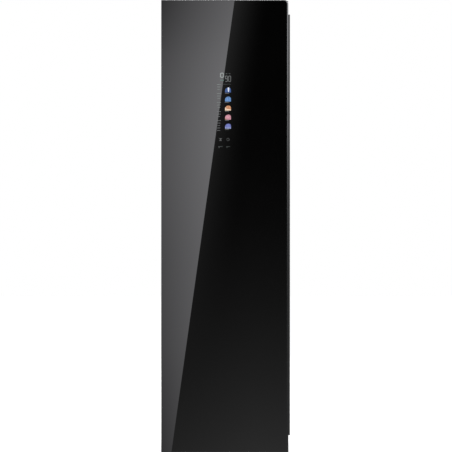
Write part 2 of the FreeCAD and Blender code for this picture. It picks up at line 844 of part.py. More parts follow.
# ---- deck: the steel shelf between the two side panels that carries the compartment
DECK_Z = (DECK_FOOT, DECK_TOP)
DECK_SIDE = (f"{INSIDE} - deck_thick", INSIDE)
DECK_LIP_Y = (f"{FRONT} + deck_lip", FOAM_BACK)
DECK_LIP_Z = (f"{DECK_FOOT} - deck_lip", DECK_FOOT)
deck_folded = fuse(
    "deck_folded",
    brick("deck_sheet", both_ways(INSIDE), (FLANGE_BACK, PANEL_FRONT), DECK_Z),
    brick("deck_lip_right", DECK_SIDE, DECK_LIP_Y, DECK_LIP_Z),
    brick("deck_lip_left", mirrored(DECK_SIDE), DECK_LIP_Y, DECK_LIP_Z),
)
deck = cut(
    "deck_cut",
    deck_folded,
    filter_slot("deck_slot", through(DECK_Z), "duct_wall"),
    brick("deck_neck", both_ways(NECK_HALF), NECK_Y, through(DECK_Z)),
    rod("deck_hose", f"{STEAM_STUB} + hole_clear", "z", (STEAM_X, HOSE_Y), through(DECK_Z)),
)
node("deck_plate", deck)

# ---- air outlet grille on the rear wall
GRILLE_FACE = f"({CAVITY_BACK} - grille_thick)"
SLIT_X = ("grille_slit / 2 - grille_half", "3 * grille_slit / 2 - grille_half")
SLITS = 13
grille = new_body("grille_body")
grille_outline = new_sketch(grille, "grille_outline", "XZ_Plane", f"-{CAVITY_BACK}")
draw_rectangle(grille_outline, both_ways("grille_half + grille_rim"), inside(GRILLE_Z, "-grille_rim"))
pad(grille, "grille_plate", grille_outline, "grille_thick")
slit_outline = new_sketch(grille, "slit_outline", "XZ_Plane", f"-{GRILLE_FACE}")
draw_rectangle(slit_outline, SLIT_X, inside(GRILLE_Z, "grille_slit / 2"))
slit = pocket(grille, "slit", slit_outline, f"grille_thick + {PAST}")
repeat(grille, slit, slit_outline, "H_Axis", "2 * grille_half - 2 * grille_slit", SLITS)
node("outlet_grille", grille)

# ---- lamp in the ceiling
LAMP_FACE_Z = (f"{CAVITY_ROOF} - lamp_drop", CAVITY_ROOF)
lamp = fuse(
    "lamp_whole",
    brick("lamp_box", both_ways("lamp_half"), LAMP_Y, (CAVITY_ROOF, ROOF_FLOOR)),
    brick("lamp_face", both_ways("lamp_half + lamp_rim"), inside(LAMP_Y, "-lamp_rim"), LAMP_FACE_Z),
)
node("ceiling_lamp", lamp)

# ---- shelf: a slatted rack that lies on the two ribs
SHELF_HALF = f"({CAVITY_HALF} - shelf_gap)"
GAP_X = (f"shelf_border - {SHELF_HALF}", f"shelf_border + shelf_slit - {SHELF_HALF}")
GAP_RUN = f"2 * {SHELF_HALF} - 2 * shelf_border - shelf_slit"
GAPS = 20
rack = new_body("rack_body")
rack_outline = new_sketch(rack, "rack_outline", "XY_Plane", SHELF_Z)
draw_rectangle(rack_outline, both_ways(SHELF_HALF), RIB_Y)
pad(rack, "rack_plate", rack_outline, "shelf_thick")
gap_outline = new_sketch(rack, "gap_outline", "XY_Plane", f"{SHELF_Z} + shelf_thick")
draw_rectangle(gap_outline, GAP_X, inside(RIB_Y, "shelf_border"))
gap = pocket(rack, "gap", gap_outline, f"shelf_thick + {PAST}")
repeat(rack, gap, gap_outline, "H_Axis", GAP_RUN, GAPS)
node("shelf", rack)

# ================================================================ hanger rail and its drive
# ---- roof beam: a channel across the carcass that carries the motor and the crank bearing
BEAM_Y = about(RAIL_Y, "beam_half")
BEAM_TOP = f"({ROOF_FLOOR} + deck_thick)"
BEAM_LIP_Z = (ROOF_FLOOR, f"{ROOF_FLOOR} + beam_lip")
POST_Z = (BEAM_TOP, f"{BEAM_TOP} + bearing_height")
SPINDLE_AXIS = ("0", RAIL_Y)
beam = fuse(
    "beam_whole",
    brick("beam_web", both_ways(INSIDE), BEAM_Y, (ROOF_FLOOR, BEAM_TOP)),
    brick("beam_front", both_ways(INSIDE), (BEAM_Y[0], f"{BEAM_Y[0]} + deck_thick"), BEAM_LIP_Z),
    brick("beam_rear", both_ways(INSIDE), (f"{BEAM_Y[1]} - deck_thick", BEAM_Y[1]), BEAM_LIP_Z),
    rod("bearing_post", "spindle_radius + bearing_wall", "z", SPINDLE_AXIS, POST_Z),
)
post_bore = rod("post_bore", "spindle_radius + pin_clear", "z", SPINDLE_AXIS, through((ROOF_FLOOR, POST_Z[1])))
node("roof_beam", cut("beam_cut", beam, post_bore))

CONTROL_LEFT = f"(control_inset - {INSIDE})"
CONTROL_X = (CONTROL_LEFT, f"{CONTROL_LEFT} + control_width")
CONTROL_Z = (BEAM_TOP, f"{BEAM_TOP} + control_height")
node("control_box", brick("control_block", CONTROL_X, about(RAIL_Y, "control_half"), CONTROL_Z))

# ---- gear motor with its pulley, and the crank with the larger pulley
MOTOR_TOP = f"({BEAM_TOP} + motor_height)"
MOTOR_AXIS = ("motor_place", RAIL_Y)
PULLEY_Z = (f"({MOTOR_TOP} + pulley_gap)", f"({MOTOR_TOP} + pulley_gap + pulley_height)")
node("drive_motor", rod("motor_can", "motor_radius", "z", MOTOR_AXIS, (BEAM_TOP, MOTOR_TOP)))
motor_wheel = rod("motor_wheel", "motor_pulley_radius", "z", MOTOR_AXIS, PULLEY_Z)
motor_shaft = rod("motor_shaft", "shaft_radius", "z", MOTOR_AXIS, (f"{MOTOR_TOP} + belt_clear", PULLEY_Z[0]))
node("motor_pulley", fuse("motor_pulley_whole", motor_wheel, motor_shaft))

DISC_Z = (f"({CAVITY_ROOF} - disc_gap - disc_thick)", f"({CAVITY_ROOF} - disc_gap)")
BLOCK_TOP = f"({DISC_Z[0]} - drive_gap)"
PEG_FOOT = f"({RAIL_Z} + rail_radius + peg_rise)"
PEG_REACH = "(crank_throw + crank_pin)"
crank = fuse(
    "crank_whole",
    rod("crank_disc", f"{PEG_REACH} + crank_rim", "z", SPINDLE_AXIS, DISC_Z),
    rod("crank_spindle", "spindle_radius", "z", SPINDLE_AXIS, (DISC_Z[1], f"{PULLEY_Z[1]} + drive_gap")),
    rod("crank_wheel", "pulley_radius", "z", SPINDLE_AXIS, PULLEY_Z),
    rod("crank_peg", "crank_pin", "z", ("0", f"{RAIL_Y} + crank_throw"), (PEG_FOOT, DISC_Z[0])),
)
node("crank_shaft", crank)


# ---- belt: a closed band round both pulleys
def belt_face(grow):
    """The face inside a line round both pulleys, at a distance outside their rims."""
    big = value("pulley_radius") + grow
    small = value("motor_pulley_radius") + grow
    reach = value("motor_place")
    lean = math.acos((big - small) / reach)  # angle of the contact points from the line of centres
    big_high = FreeCAD.Vector(big * math.cos(lean), big * math.sin(lean), 0)
    big_low = FreeCAD.Vector(big_high.x, -big_high.y, 0)
    small_high = FreeCAD.Vector(reach + small * math.cos(lean), small * math.sin(lean), 0)
    small_low = FreeCAD.Vector(small_high.x, -small_high.y, 0)
    edges = [
        Part.LineSegment(big_high, small_high).toShape(),
        Part.Arc(small_high, FreeCAD.Vector(reach + small, 0, 0), small_low).toShape(),
        Part.LineSegment(small_low, big_low).toShape(),
        Part.Arc(big_low, FreeCAD.Vector(-big, 0, 0), big_high).toShape(),
    ]
    return Part.Face(Part.Wire(edges))


belt_band = belt_face(value("belt_clear + belt_thick")).cut(belt_face(value("belt_clear")))
belt_spot = FreeCAD.Vector(0, value(RAIL_Y), value(f"{middle_of(PULLEY_Z)} - belt_height / 2"))
belt = doc.addObject("Part::Feature", "belt")
belt.Shape = belt_band.extrude(FreeCAD.Vector(0, 0, value("belt_height")))
belt.Placement = FreeCAD.Placement(belt_spot, FreeCAD.Rotation())
node("drive_belt", belt)

# ---- rail: a tube with collars that keep each hook in its place
RAIL_AXIS = (RAIL_Y, RAIL_Z)
RAIL_X = both_ways(f"({CAVITY_HALF} - rail_travel - rail_end_gap)")
COLLAR_STEP = "(hook_wire / 2 + collar_gap + collar_width / 2)"
collars = [
    rod(
        f"collar_{i}",
        "rail_radius + collar_rise",
        "x",
        RAIL_AXIS,
        about(f"{side} * hook_place + {step} * {COLLAR_STEP}", "collar_width / 2"),
    )
    for i, (side, step) in enumerate(((-1, -1), (-1, 1), (1, -1), (1, 1)))
]
rail = fuse("rail_whole", rod("rail_bar", "rail_radius", "x", RAIL_AXIS, RAIL_X), *collars)
rail_bore = rod("rail_bore", "rail_radius - rail_wall", "x", RAIL_AXIS, through(RAIL_X))
node("rail_tube", cut("rail_cut", rail, rail_bore))

# ---- slotted block on the rail: the crank's peg pushes it to and fro
BLOCK_X = both_ways("block_half")
BLOCK_Z = (f"{RAIL_Z} - rail_radius - block_wall", BLOCK_TOP)
block = brick("slot_block", BLOCK_X, about(RAIL_Y, f"{PEG_REACH} + block_end"), BLOCK_Z)
block_bore = rod("slot_block_bore", "rail_radius", "x", RAIL_AXIS, through(BLOCK_X))
block_slot = brick(
    "slot_block_slot",
    both_ways("crank_pin + slot_clear"),
    about(RAIL_Y, f"{PEG_REACH} + slot_end"),
    through((PEG_FOOT, BLOCK_TOP)),
)
node("rail_block", cut("slot_block_cut", block, block_bore, block_slot))

# ---- guides: two ears under the ceiling that the rail slides in
GUIDE_Z = (f"{RAIL_Z} - rail_radius - guide_wall", CAVITY_ROOF)
GUIDE_PLACE = f"({CAVITY_HALF} - guide_inset)"


def bar_guide(name, middle):
    span = about(middle, "guide_width / 2")
    ear = brick(name + "_ear", span, about(RAIL_Y, "rail_radius + guide_wall"), GUIDE_Z)
    return cut(name, ear, rod(name + "_bore", "rail_radius + rail_clear", "x", RAIL_AXIS, through(span)))


left_guide = bar_guide("guide_left", f"-{GUIDE_PLACE}")
right_guide = bar_guide("guide_right", GUIDE_PLACE)
node("bar_guides", group("guide_pair", left_guide, right_guide))

# ---- cover under the ceiling that hides the crank and the block
COVER_X = both_ways("cover_half")
COVER_Y = about(RAIL_Y, f"{PEG_REACH} + block_end + cover_gap")
COVER_FOOT = f"({RAIL_Z} - 2 * rail_radius)"
cover_shell = brick("drive_shell", COVER_X, COVER_Y, (COVER_FOOT, CAVITY_ROOF))
cover_room = brick(
    "drive_room",
    inside(COVER_X, "cover_wall"),
    inside(COVER_Y, "cover_wall"),
    (f"{COVER_FOOT} + cover_wall", f"{CAVITY_ROOF} + {PAST}"),
)
cover_bore = rod("drive_shell_bore", "rail_radius + cover_clear", "x", RAIL_AXIS, through(COVER_X))
node("drive_cover", cut("drive_cover_cut", cover_shell, cover_room, cover_bore))

# ---- hangers: a hook over the rail, a neck and a pair of curved arms
HANGER_HALF = f"(({CAVITY_BACK} - {FRONT}) / 2 - hanger_clear)"
HOOK_IN = "(rail_radius + hook_gap)"
HOOK_OUT = "(rail_radius + hook_gap + hook_wire)"
TOP_BOW = f"(1.534 * {HANGER_HALF})"
LOW_BOW = f"(1.68 * {HANGER_HALF})"
TOP_BOW_Z = f"{RAIL_Z} - hanger_drop - {TOP_BOW}"
LOW_BOW_Z = f"{RAIL_Z} - hanger_drop - hanger_height - {LOW_BOW}"


def hanger(name, middle):
    slim = about(middle, "hook_wire / 2")
    wide = about(middle, "hanger_thick / 2")
    mouth = brick(
        name + "_mouth",
        through(slim),
        (f"{RAIL_Y} + hook_mouth", f"{RAIL_Y} + 2 * {HOOK_OUT}"),
        (f"{RAIL_Z} - 2 * {HOOK_OUT}", f"{RAIL_Z} - hook_mouth"),
    )
    hook = cut(name + "_hook", tube(name + "_ring", HOOK_OUT, HOOK_IN, "x", RAIL_AXIS, slim), mouth)
    neck_z = (f"{RAIL_Z} - neck_drop", f"{RAIL_Z} - ({HOOK_IN} + {HOOK_OUT}) / 2")
    neck = brick(name + "_neck", slim, about(RAIL_Y, "neck_half"), neck_z)
    top = rod(name + "_top", TOP_BOW, "x", (RAIL_Y, TOP_BOW_Z), wide)
    low = rod(name + "_low", LOW_BOW, "x", (RAIL_Y, LOW_BOW_Z), through(wide))
    reach = brick(name + "_reach", wide, about(RAIL_Y, HANGER_HALF), (f"{RAIL_Z} - {HANGER_HALF}", RAIL_Z))
    return fuse(name, hook, neck, shared(name + "_bow", cut(name + "_arms", top, low), reach))


node("hanger_left", hanger("hanger_a", "-hook_place"))
node("hanger_right", hanger("hanger_b", "hook_place"))

# ================================================================ machine bay
# ---- tank bay: an open-fronted box with two pockets, on four legs
TANK_X = ("tank_gap / 2", "(tank_gap / 2 + tank_width)")
TANK_Y = (f"({FRONT} + tank_clear)", f"({FRONT} + tank_clear + tank_depth)")
TANK_TOP = "(tank_foot + tank_height)"
LID_TOP = f"({TANK_TOP} + tank_lid)"
POCKET_X = (f"{TANK_X[0]} - tank_clear", f"({TANK_X[1]} + tank_clear)")
POCKET_Y = (f"{FRONT} - {PAST}", f"{TANK_Y[1]} + tank_clear")
POCKET_Z = ("tank_foot", f"({LID_TOP} + tank_clear)")
BAY_HALF = f"({POCKET_X[1]} + bay_wall)"
BAY_BACK = f"({TANK_Y[1]} + tank_clear + bay_rear)"
BAY_FOOT = "(tank_foot - bay_wall)"
BAY_TOP = f"({POCKET_Z[1]} + bay_wall)"
BAY_LEG_X = both_ways(f"({BAY_HALF} - bay_leg_inset)")
BAY_LEG_Y = inside((FRONT, BAY_BACK), "bay_leg_inset")
bay_legs = [
    brick(f"bay_leg_{i}", about(x, "bay_leg"), about(y, "bay_leg"), (PAN_TOP, BAY_FOOT))
    for i, (x, y) in enumerate([(x, y) for x in BAY_LEG_X for y in BAY_LEG_Y])
]
bay_block = brick("bay_block", both_ways(BAY_HALF), (FLANGE_BACK, BAY_BACK), (BAY_FOOT, BAY_TOP))
left_pocket = brick("bay_pocket_left", mirrored(POCKET_X), POCKET_Y, POCKET_Z)
right_pocket = brick("bay_pocket_right", POCKET_X, POCKET_Y, POCKET_Z)
node("tank_bay", cut("bay_cut", fuse("bay_whole", bay_block, *bay_legs), left_pocket, right_pocket))

# ---- front fascia: a sheet with two windows, between the base pan and the compartment
fascia = new_body("fascia_body")
fascia_outline = new_sketch(fascia, "fascia_outline", "XZ_Plane", f"-{FLANGE_BACK}")
draw_rectangle(fascia_outline, both_ways(LIP_EDGE), ("foot_height + pan_lip + fascia_gap", DECK_TOP))
for span in (POCKET_X, mirrored(POCKET_X)):
    draw_rectangle(fascia_outline, span, POCKET_Z)
pad(fascia, "fascia_sheet", fascia_outline, "liner_wall")
node("front_fascia", fascia)


# ---- tanks: a hollow body, and a lid with a finger scoop at the front
def tank(name, span):
    shell = brick(name + "_shell", span, TANK_Y, ("tank_foot", TANK_TOP))
    room = brick(
        name + "_room",
        inside(span, "tank_wall"),
        inside(TANK_Y, "tank_wall"),
        ("tank_foot + tank_wall", f"{TANK_TOP} + {PAST}"),
    )
    return cut(name + "_tank_cut", shell, room)


def tank_lid(name, span):
    cap = brick(name + "_cap", span, TANK_Y, (TANK_TOP, LID_TOP))
    scoop = brick(
        name + "_scoop",
        about(middle_of(span), "scoop_half"),
        (f"{TANK_Y[0]} - {PAST}", f"{TANK_Y[0]} + scoop_depth"),
        (f"{TANK_TOP} + scoop_floor", f"{LID_TOP} - scoop_roof"),
    )
    return cut(name + "_lid_cut", cap, scoop)


for name, span in (("supply", TANK_X), ("drain", mirrored(TANK_X))):
    node(name + "_tank", tank(name, span))
    node(name + "_tank_lid", tank_lid(name, span))

# ---- intake duct: from the filter slot, over the tanks and through both heat exchangers to the fan
FAN_Y = (f"({NECK_Y[1]} - fan_depth)", NECK_Y[1])
STEP_Y = f"({BAY_BACK} + duct_gap)"
DUCT_BACK = FAN_Y[0]
DUCT_STEP = f"({BAY_TOP} + duct_step_gap)"
DUCT_ROOF = f"({DECK_FOOT} - duct_wall)"
DUCT_ROOM_X = both_ways("(duct_half - duct_wall)")
EVAPORATOR_Y = (f"({STEP_Y} + exchanger_gap)", f"({STEP_Y} + exchanger_gap + exchanger_depth)")
CONDENSER_Y = tuple(f"({limit} + exchanger_gap + exchanger_depth)" for limit in EVAPORATOR_Y)
PIPE_Z = "(duct_foot + pipe_rise)"


def duct_part(name, x, front, foot, grow):
    """One run of the duct, from its front to the fan; the grown one is the room inside it."""
    back = f"{DUCT_BACK} + {grow}"
    return brick(name, x, (front, back), (foot, f"{DECK_FOOT} - {grow} * duct_wall"))


duct_outside = fuse(
    "duct_outside",
    duct_part("duct_over", both_ways("duct_half"), f"{FRONT} + duct_front", DUCT_STEP, 0),
    duct_part("duct_main", both_ways("duct_half"), STEP_Y, "duct_foot", 0),
    filter_slot("duct_neck", (DUCT_ROOF, LINER_FOOT), "duct_wall"),
)
duct_rooms = [
    duct_part("room_over", DUCT_ROOM_X, f"{FRONT} + duct_front + duct_wall", f"{DUCT_STEP} + duct_wall", 1),
    duct_part("room_main", DUCT_ROOM_X, f"{STEP_Y} + duct_wall", "duct_foot + duct_wall", 1),
    filter_slot("room_neck", through((DUCT_ROOF, LINER_FOOT))),
    rod(
        "duct_pipe_hole",
        "pipe_radius",
        "x",
        (middle_of(CONDENSER_Y), PIPE_Z),
        through(("-duct_half", "duct_wall - duct_half")),
    ),
]
node("intake_duct", cut("duct_cut", duct_outside, *duct_rooms))

# ---- lint filter: a cassette that drops through the compartment floor into the duct
FILTER_X = both_ways("(filter_half - filter_slack)")
FILTER_Y = inside(SLOT_Y, "filter_slack")
FILTER_FOOT = f"({DUCT_STEP} + duct_wall + filter_lift)"
CAP_TOP = "(cavity_floor + filter_cap)"
WINDOWS = 4
VENTS = 12
GRIP_VENTS = range(4, 8)  # no vent under the grip
WINDOW_PITCH = f"(2 * filter_half / {WINDOWS})"
VENT_PITCH = f"(2 * filter_half / {VENTS + 1})"
cassette = fuse(
    "filter_whole",
    brick("filter_box", FILTER_X, FILTER_Y, (FILTER_FOOT, "cavity_floor")),
    filter_slot("filter_top", ("cavity_floor", CAP_TOP), "filter_rim"),
    brick(
        "filter_handle",
        both_ways("filter_grip"),
        about(middle_of(SLOT_Y), "filter_wall"),
        (CAP_TOP, f"{CAP_TOP} + filter_grip_rise"),
    ),
)
filter_room = brick(
    "filter_room",
    inside(FILTER_X, "filter_wall"),
    inside(FILTER_Y, "filter_wall"),
    inside((FILTER_FOOT, "cavity_floor"), "filter_wall"),
)
filter_windows = [
    brick(
        f"filter_window_{i}",
        about(f"({i - (WINDOWS - 1) / 2}) * {WINDOW_PITCH}", f"{WINDOW_PITCH} / 2 - filter_wall"),
        (middle_of(FILTER_Y), f"{FILTER_Y[1]} + {PAST}"),
        (f"{FILTER_FOOT} + 3 * filter_wall", DECK_TOP),
    )
    for i in range(WINDOWS)
]
filter_vents = [
    brick(
        f"filter_vent_{i}",
        about(f"({i - (VENTS - 1) / 2}) * {VENT_PITCH}", f"{VENT_PITCH} / 4"),
        inside(FILTER_Y, "filter_cap"),
        through(("cavity_floor - filter_wall", CAP_TOP)),
    )
    for i in range(VENTS)
    if i not in GRIP_VENTS
]
node("lint_filter", cut("filter_cut", cassette, filter_room, *filter_windows, *filter_vents))

# ---- evaporator and condenser: finned blocks with tubes, between the walls of the duct
FINS = 20
TUBE_ROWS = 5
EXCHANGER_Z = ("(duct_foot + duct_wall)", DUCT_ROOF)
FIN_PITCH = f"(2 * {DUCT_ROOM_X[1]} / {FINS})"
TUBE_PITCH = f"(({EXCHANGER_Z[1]} - {EXCHANGER_Z[0]}) / {TUBE_ROWS + 1})"


def exchanger(name, span_y):
    fins = []
    for i in range(FINS):
        span_x = about(f"({i - (FINS - 1) / 2}) * {FIN_PITCH}", "fin_thick / 2")
        fins.append(brick(f"{name}_fin_{i}", span_x, span_y, EXCHANGER_Z))
    tubes = []
    for row in range(1, TUBE_ROWS + 1):
        for column in (1, 2):
            spot = (f"{span_y[0]} + {column} * exchanger_depth / 3", f"{EXCHANGER_Z[0]} + {row} * {TUBE_PITCH}")
            tubes.append(rod(f"{name}_tube_{row}_{column}", "tube_radius", "x", spot, DUCT_ROOM_X))
    return fuse(name, *fins, *tubes)


evaporator = exchanger("evaporator", EVAPORATOR_Y)
condenser = exchanger("condenser", CONDENSER_Y)
node("heat_exchangers", group("exchanger_pair", evaporator, condenser))

# ---- fan housing: a scroll with a neck up to the outlet grille
FAN_Z = f"({DECK_FOOT} - fan_deck_gap - fan_gap - fan_radius)"
FAN_AXIS = ("0", FAN_Z)
FAN_ROOM_Y = inside(FAN_Y, "fan_skin")
EYE_RADIUS = "(fan_radius - wheel_ring)"
NECK_FRONT = (NECK_Y[0], f"{NECK_Y[0]} + duct_wall")
scroll = fuse(
    "scroll_whole",
    brick(
        "scroll_box",
        both_ways("fan_radius + fan_gap + fan_wall"),
        FAN_Y,
        (f"{FAN_Z} - fan_radius - fan_wall", DECK_FOOT),
    ),
    brick("scroll_neck", both_ways(NECK_HALF), NECK_Y, (f"{DECK_FOOT} - {PAST}", NECK_TOP)),
)
scroll_rooms = [
    rod("scroll_room", "fan_radius + fan_gap", "y", FAN_AXIS, FAN_ROOM_Y),
    rod("scroll_eye", EYE_RADIUS, "y", FAN_AXIS, through((FAN_Y[0], FAN_ROOM_Y[0]))),
    brick(
        "scroll_neck_room",
        both_ways("grille_half"),
        (NECK_FRONT[1], FAN_ROOM_Y[1]),
        (FAN_Z, f"{NECK_TOP} - duct_wall"),
    ),
    brick("scroll_mouth", both_ways("grille_half"), through(NECK_FRONT), GRILLE_Z),
]
node("fan_housing", cut("scroll_cut", scroll, *scroll_rooms))

# ---- fan wheel: back plate, front ring, hub, shaft and blades
BLADES = 24
WHEEL_FRONT = f"({FAN_Y[0]} + wheel_gap)"
PLATE_Y = (f"({WHEEL_FRONT} + wheel_depth - wheel_plate)", f"({WHEEL_FRONT} + wheel_depth)")
BLADE_FOOT = "(fan_radius - blade_inset)"
CAN_BACK = f"({FAN_Y[0]} - fan_motor_gap)"
blades = []
for i in range(BLADES):
    degrees = 360 / BLADES * i
    blade = doc.addObject("Part::Box", f"blade_{i}")
    blade.Placement = FreeCAD.Placement(FreeCAD.Vector(), FreeCAD.Rotation(FreeCAD.Vector(0, 1, 0), -degrees))
    for side, limit in (
        ("Length", "blade_chord"),
        ("Width", f"{PLATE_Y[0]} - {WHEEL_FRONT}"),
        ("Height", "blade_thick"),
        ("Placement.Base.x", f"{BLADE_FOOT} * cos({degrees})"),
        ("Placement.Base.y", WHEEL_FRONT),
        ("Placement.Base.z", f"{FAN_Z} + {BLADE_FOOT} * sin({degrees})"),
    ):
        blade.setExpression(side, bound(limit))
    blades.append(blade)
wheel = fuse(
    "wheel_whole",
    rod("wheel_back", "fan_radius", "y", FAN_AXIS, PLATE_Y),
    tube("wheel_front", "fan_radius", EYE_RADIUS, "y", FAN_AXIS, (WHEEL_FRONT, f"{WHEEL_FRONT} + wheel_plate")),
    rod("wheel_hub", "hub_radius", "y", FAN_AXIS, (f"{PLATE_Y[0]} - hub_depth", PLATE_Y[0])),
    rod("wheel_shaft", "shaft_radius", "y", FAN_AXIS, (f"{CAN_BACK} + thrust_clear", PLATE_Y[0])),
    *blades,
)
node("fan_wheel", wheel)

# ---- fan motor on a strap across the duct
FAN_CAN_Y = (f"{CAN_BACK} - fan_motor_depth", CAN_BACK)
fan_can = rod("fan_can", "fan_motor_radius", "y", FAN_AXIS, FAN_CAN_Y)
strap_y = about(middle_of(FAN_CAN_Y), "fan_skin / 2")
fan_strap = brick("fan_strap", DUCT_ROOM_X, strap_y, about(FAN_Z, "hub_radius"))
node("fan_motor", fuse("fan_motor_whole", fan_can, fan_strap))

# ---- steam generator on four legs
BOILER_LEFT = f"(boiler_inset - {INSIDE})"
BOILER_X = (BOILER_LEFT, f"{BOILER_LEFT} + 2 * boiler_half")
BOILER_MIDDLE = f"({STEP_Y} + boiler_half)"
BOILER_Y = about(BOILER_MIDDLE, "boiler_half_depth")
BOILER_FOOT = "(foot_height + boiler_rise)"
BOILER_TOP = f"({BOILER_FOOT} + boiler_height)"
STUB_TOP = f"({BOILER_TOP} + boiler_stub)"
BOILER_LEG_X = inside(BOILER_X, "2 * boiler_leg")
BOILER_LEG_Y = inside(BOILER_Y, "2 * boiler_leg")
boiler_legs = [
    brick(f"boiler_leg_{i}", about(x, "boiler_leg"), about(y, "boiler_leg"), (PAN_TOP, BOILER_FOOT))
    for i, (x, y) in enumerate([(x, y) for x in BOILER_LEG_X for y in BOILER_LEG_Y])
]
boiler = fuse(
    "boiler_whole",
    brick("boiler_block", BOILER_X, BOILER_Y, (BOILER_FOOT, BOILER_TOP)),
    rod("boiler_outlet", "steam_bore", "z", (STEAM_X, BOILER_MIDDLE), (BOILER_TOP, STUB_TOP)),
    *boiler_legs,
)
node("steam_generator", boiler)

# ---- steam hose: up, back along the duct, up behind the compartment and forward to the nozzle
NOZZLE_BACK = f"({FOAM_BACK} - nozzle_jet)"
hose_x = value(STEAM_X)
hose_start = value(BOILER_MIDDLE)
hose_run = value(f"{DECK_FOOT} - hose_drop")
hose_back = value(HOSE_Y)
hose_end = value(NOZZLE_BACK)
hose_bend = value("hose_bend")
steam_hose = bent_pipe(
    "steam_hose_tube",
    (
        (hose_x, hose_start, value(STUB_TOP)),
        (hose_x, hose_start, hose_run),
        (hose_x, hose_back, hose_run),
        (hose_x, hose_back, value(STEAM_Z)),
        (hose_x, hose_end, value(STEAM_Z)),
    ),
    (hose_bend, hose_bend, 0.9 * (hose_back - hose_end)),
    value("steam_bore"),
)
node("steam_hose", steam_hose)

# ---- steam nozzle: a round face with six jets on the rear wall of the compartment
JETS = 6
NOZZLE_FACE = f"({CAVITY_BACK} - nozzle_thick)"
nozzle_jets = [
    rod(
        f"jet_{i}",
        "nozzle_jet",
        "y",
        (f"{STEAM_X} + nozzle_ring * cos({360 / JETS * i})", f"{STEAM_Z} + nozzle_ring * sin({360 / JETS * i})"),
        (f"{NOZZLE_FACE} - {PAST}", f"{CAVITY_BACK} - nozzle_jet"),
    )
    for i in range(JETS)
]
nozzle = fuse(
    "nozzle_whole",
    rod("nozzle_face", "nozzle_radius", "y", (STEAM_X, STEAM_Z), (NOZZLE_FACE, CAVITY_BACK)),
    rod("nozzle_stub", STEAM_STUB, "y", (STEAM_X, STEAM_Z), (CAVITY_BACK, NOZZLE_BACK)),
)
node("steam_nozzle", cut("nozzle_cut", nozzle, *nozzle_jets))

# ---- water pumps on the base pan
PUMP_SHOULDER = f"({PAN_TOP} + pump_foot)"
PORT_Y = (BOILER_MIDDLE, f"{BOILER_MIDDLE} + 3 * pump_half / 2")


def pump(name, middle):
    body_x = about(middle, "pump_half")
    body_y = about(BOILER_MIDDLE, "pump_half")
    return fuse(
        name,
        brick(name + "_block", body_x, body_y, (PAN_TOP, PUMP_SHOULDER)),
        rod(name + "_can", "pump_can", "z", (middle, BOILER_MIDDLE), (PUMP_SHOULDER, f"{PAN_TOP} + pump_height")),
        rod(name + "_port", "pump_port", "y", (middle, f"{PAN_TOP} + pump_foot / 2"), PORT_Y),
    )


node("water_pumps", group("pump_pair", pump("supply_pump", "-pump_place"), pump("drain_pump", "pump_place")))

# ---- compressor on four rubber mounts
COMPRESSOR_X = f"(compressor_inset - {INSIDE})"
COMPRESSOR_Y = f"({REAR} - compressor_back)"
BASE_X = about(COMPRESSOR_X, "compressor_base")
BASE_Y = about(COMPRESSOR_Y, "compressor_base")
MOUNT_TOP = f"({PAN_TOP} + mount_height)"
CAN_FOOT = f"({MOUNT_TOP} + compressor_sheet)"
CAN_TOP = f"({CAN_FOOT} + compressor_height)"
compressor_can = rod("compressor_can", "compressor_radius", "z", (COMPRESSOR_X, COMPRESSOR_Y), (CAN_FOOT, CAN_TOP))
compressor_sole = brick("compressor_sole", BASE_X, BASE_Y, (MOUNT_TOP, CAN_FOOT))
node("compressor", fuse("compressor_whole", compressor_can, compressor_sole))
mount_spots = [(x, y) for x in inside(BASE_X, "mount_inset") for y in inside(BASE_Y, "mount_inset")]
mounts = [
    rod(f"rubber_mount_{i}", "mount_radius", "z", spot, (PAN_TOP, MOUNT_TOP))
    for i, spot in enumerate(mount_spots)
]
node("compressor_mounts", group("mount_set", *mounts))

# ---- discharge pipe from the compressor to the condenser
pipe_x = value(f"{COMPRESSOR_X} - pipe_offset")
pipe_z = value(PIPE_Z)
pipe_bend = value("pipe_bend")
compressor_y = value(COMPRESSOR_Y)
condenser_y = value(middle_of(CONDENSER_Y))
discharge = bent_pipe(
    "discharge_pipe",
    (
        (pipe_x, compressor_y, value(CAN_TOP)),
        (pipe_x, compressor_y, pipe_z),
        (pipe_x, condenser_y, pipe_z),
        (value(DUCT_ROOM_X[0]), condenser_y, pipe_z),
    ),
    (pipe_bend, pipe_bend),
    value("pipe_radius"),
)
node("refrigerant_pipe", discharge)

# ================================================================ door
DOOR_Z = (DOOR_FOOT, "cab_top")
GLASS_BACK = f"({DOOR_FACE} + glass_thick)"
LEDGE_BACK = f"({GLASS_BACK} + ledge_thick)"
LINER_FACE = f"({DOOR_BACK} - liner_wall)"
GRIP_X = f"({HALF} - grip_reach)"
GRIP_Y = (f"({DOOR_FACE} + grip_setback)", f"({LINER_FACE} - grip_back)")
GRIP_Z = (f"({DOOR_FOOT} + grip_foot)", "(cab_top - grip_head)")
INNER_HALF = f"({HALF} - frame_wall)"
INNER_Z = inside(DOOR_Z, "frame_wall")
INNER_ROUND = "corner_round - frame_wall"
PIVOT = (PIVOT_X, PIVOT_Y)
NOTCH_X = (f"-{HALF} - {PAST}", f"{PIVOT_X} + notch_half")
NOTCH_Y = (f"{PIVOT_Y} - notch_half", f"{DOOR_BACK} + {PAST}")
NOTCH_FLOOR = "(cab_top - notch_drop)"


def hinge_notch(name):
    """The room that the upper hinge tongue needs in the corner of the door."""
    return brick(name, NOTCH_X, NOTCH_Y, (NOTCH_FLOOR, f"cab_top + {PAST}"))


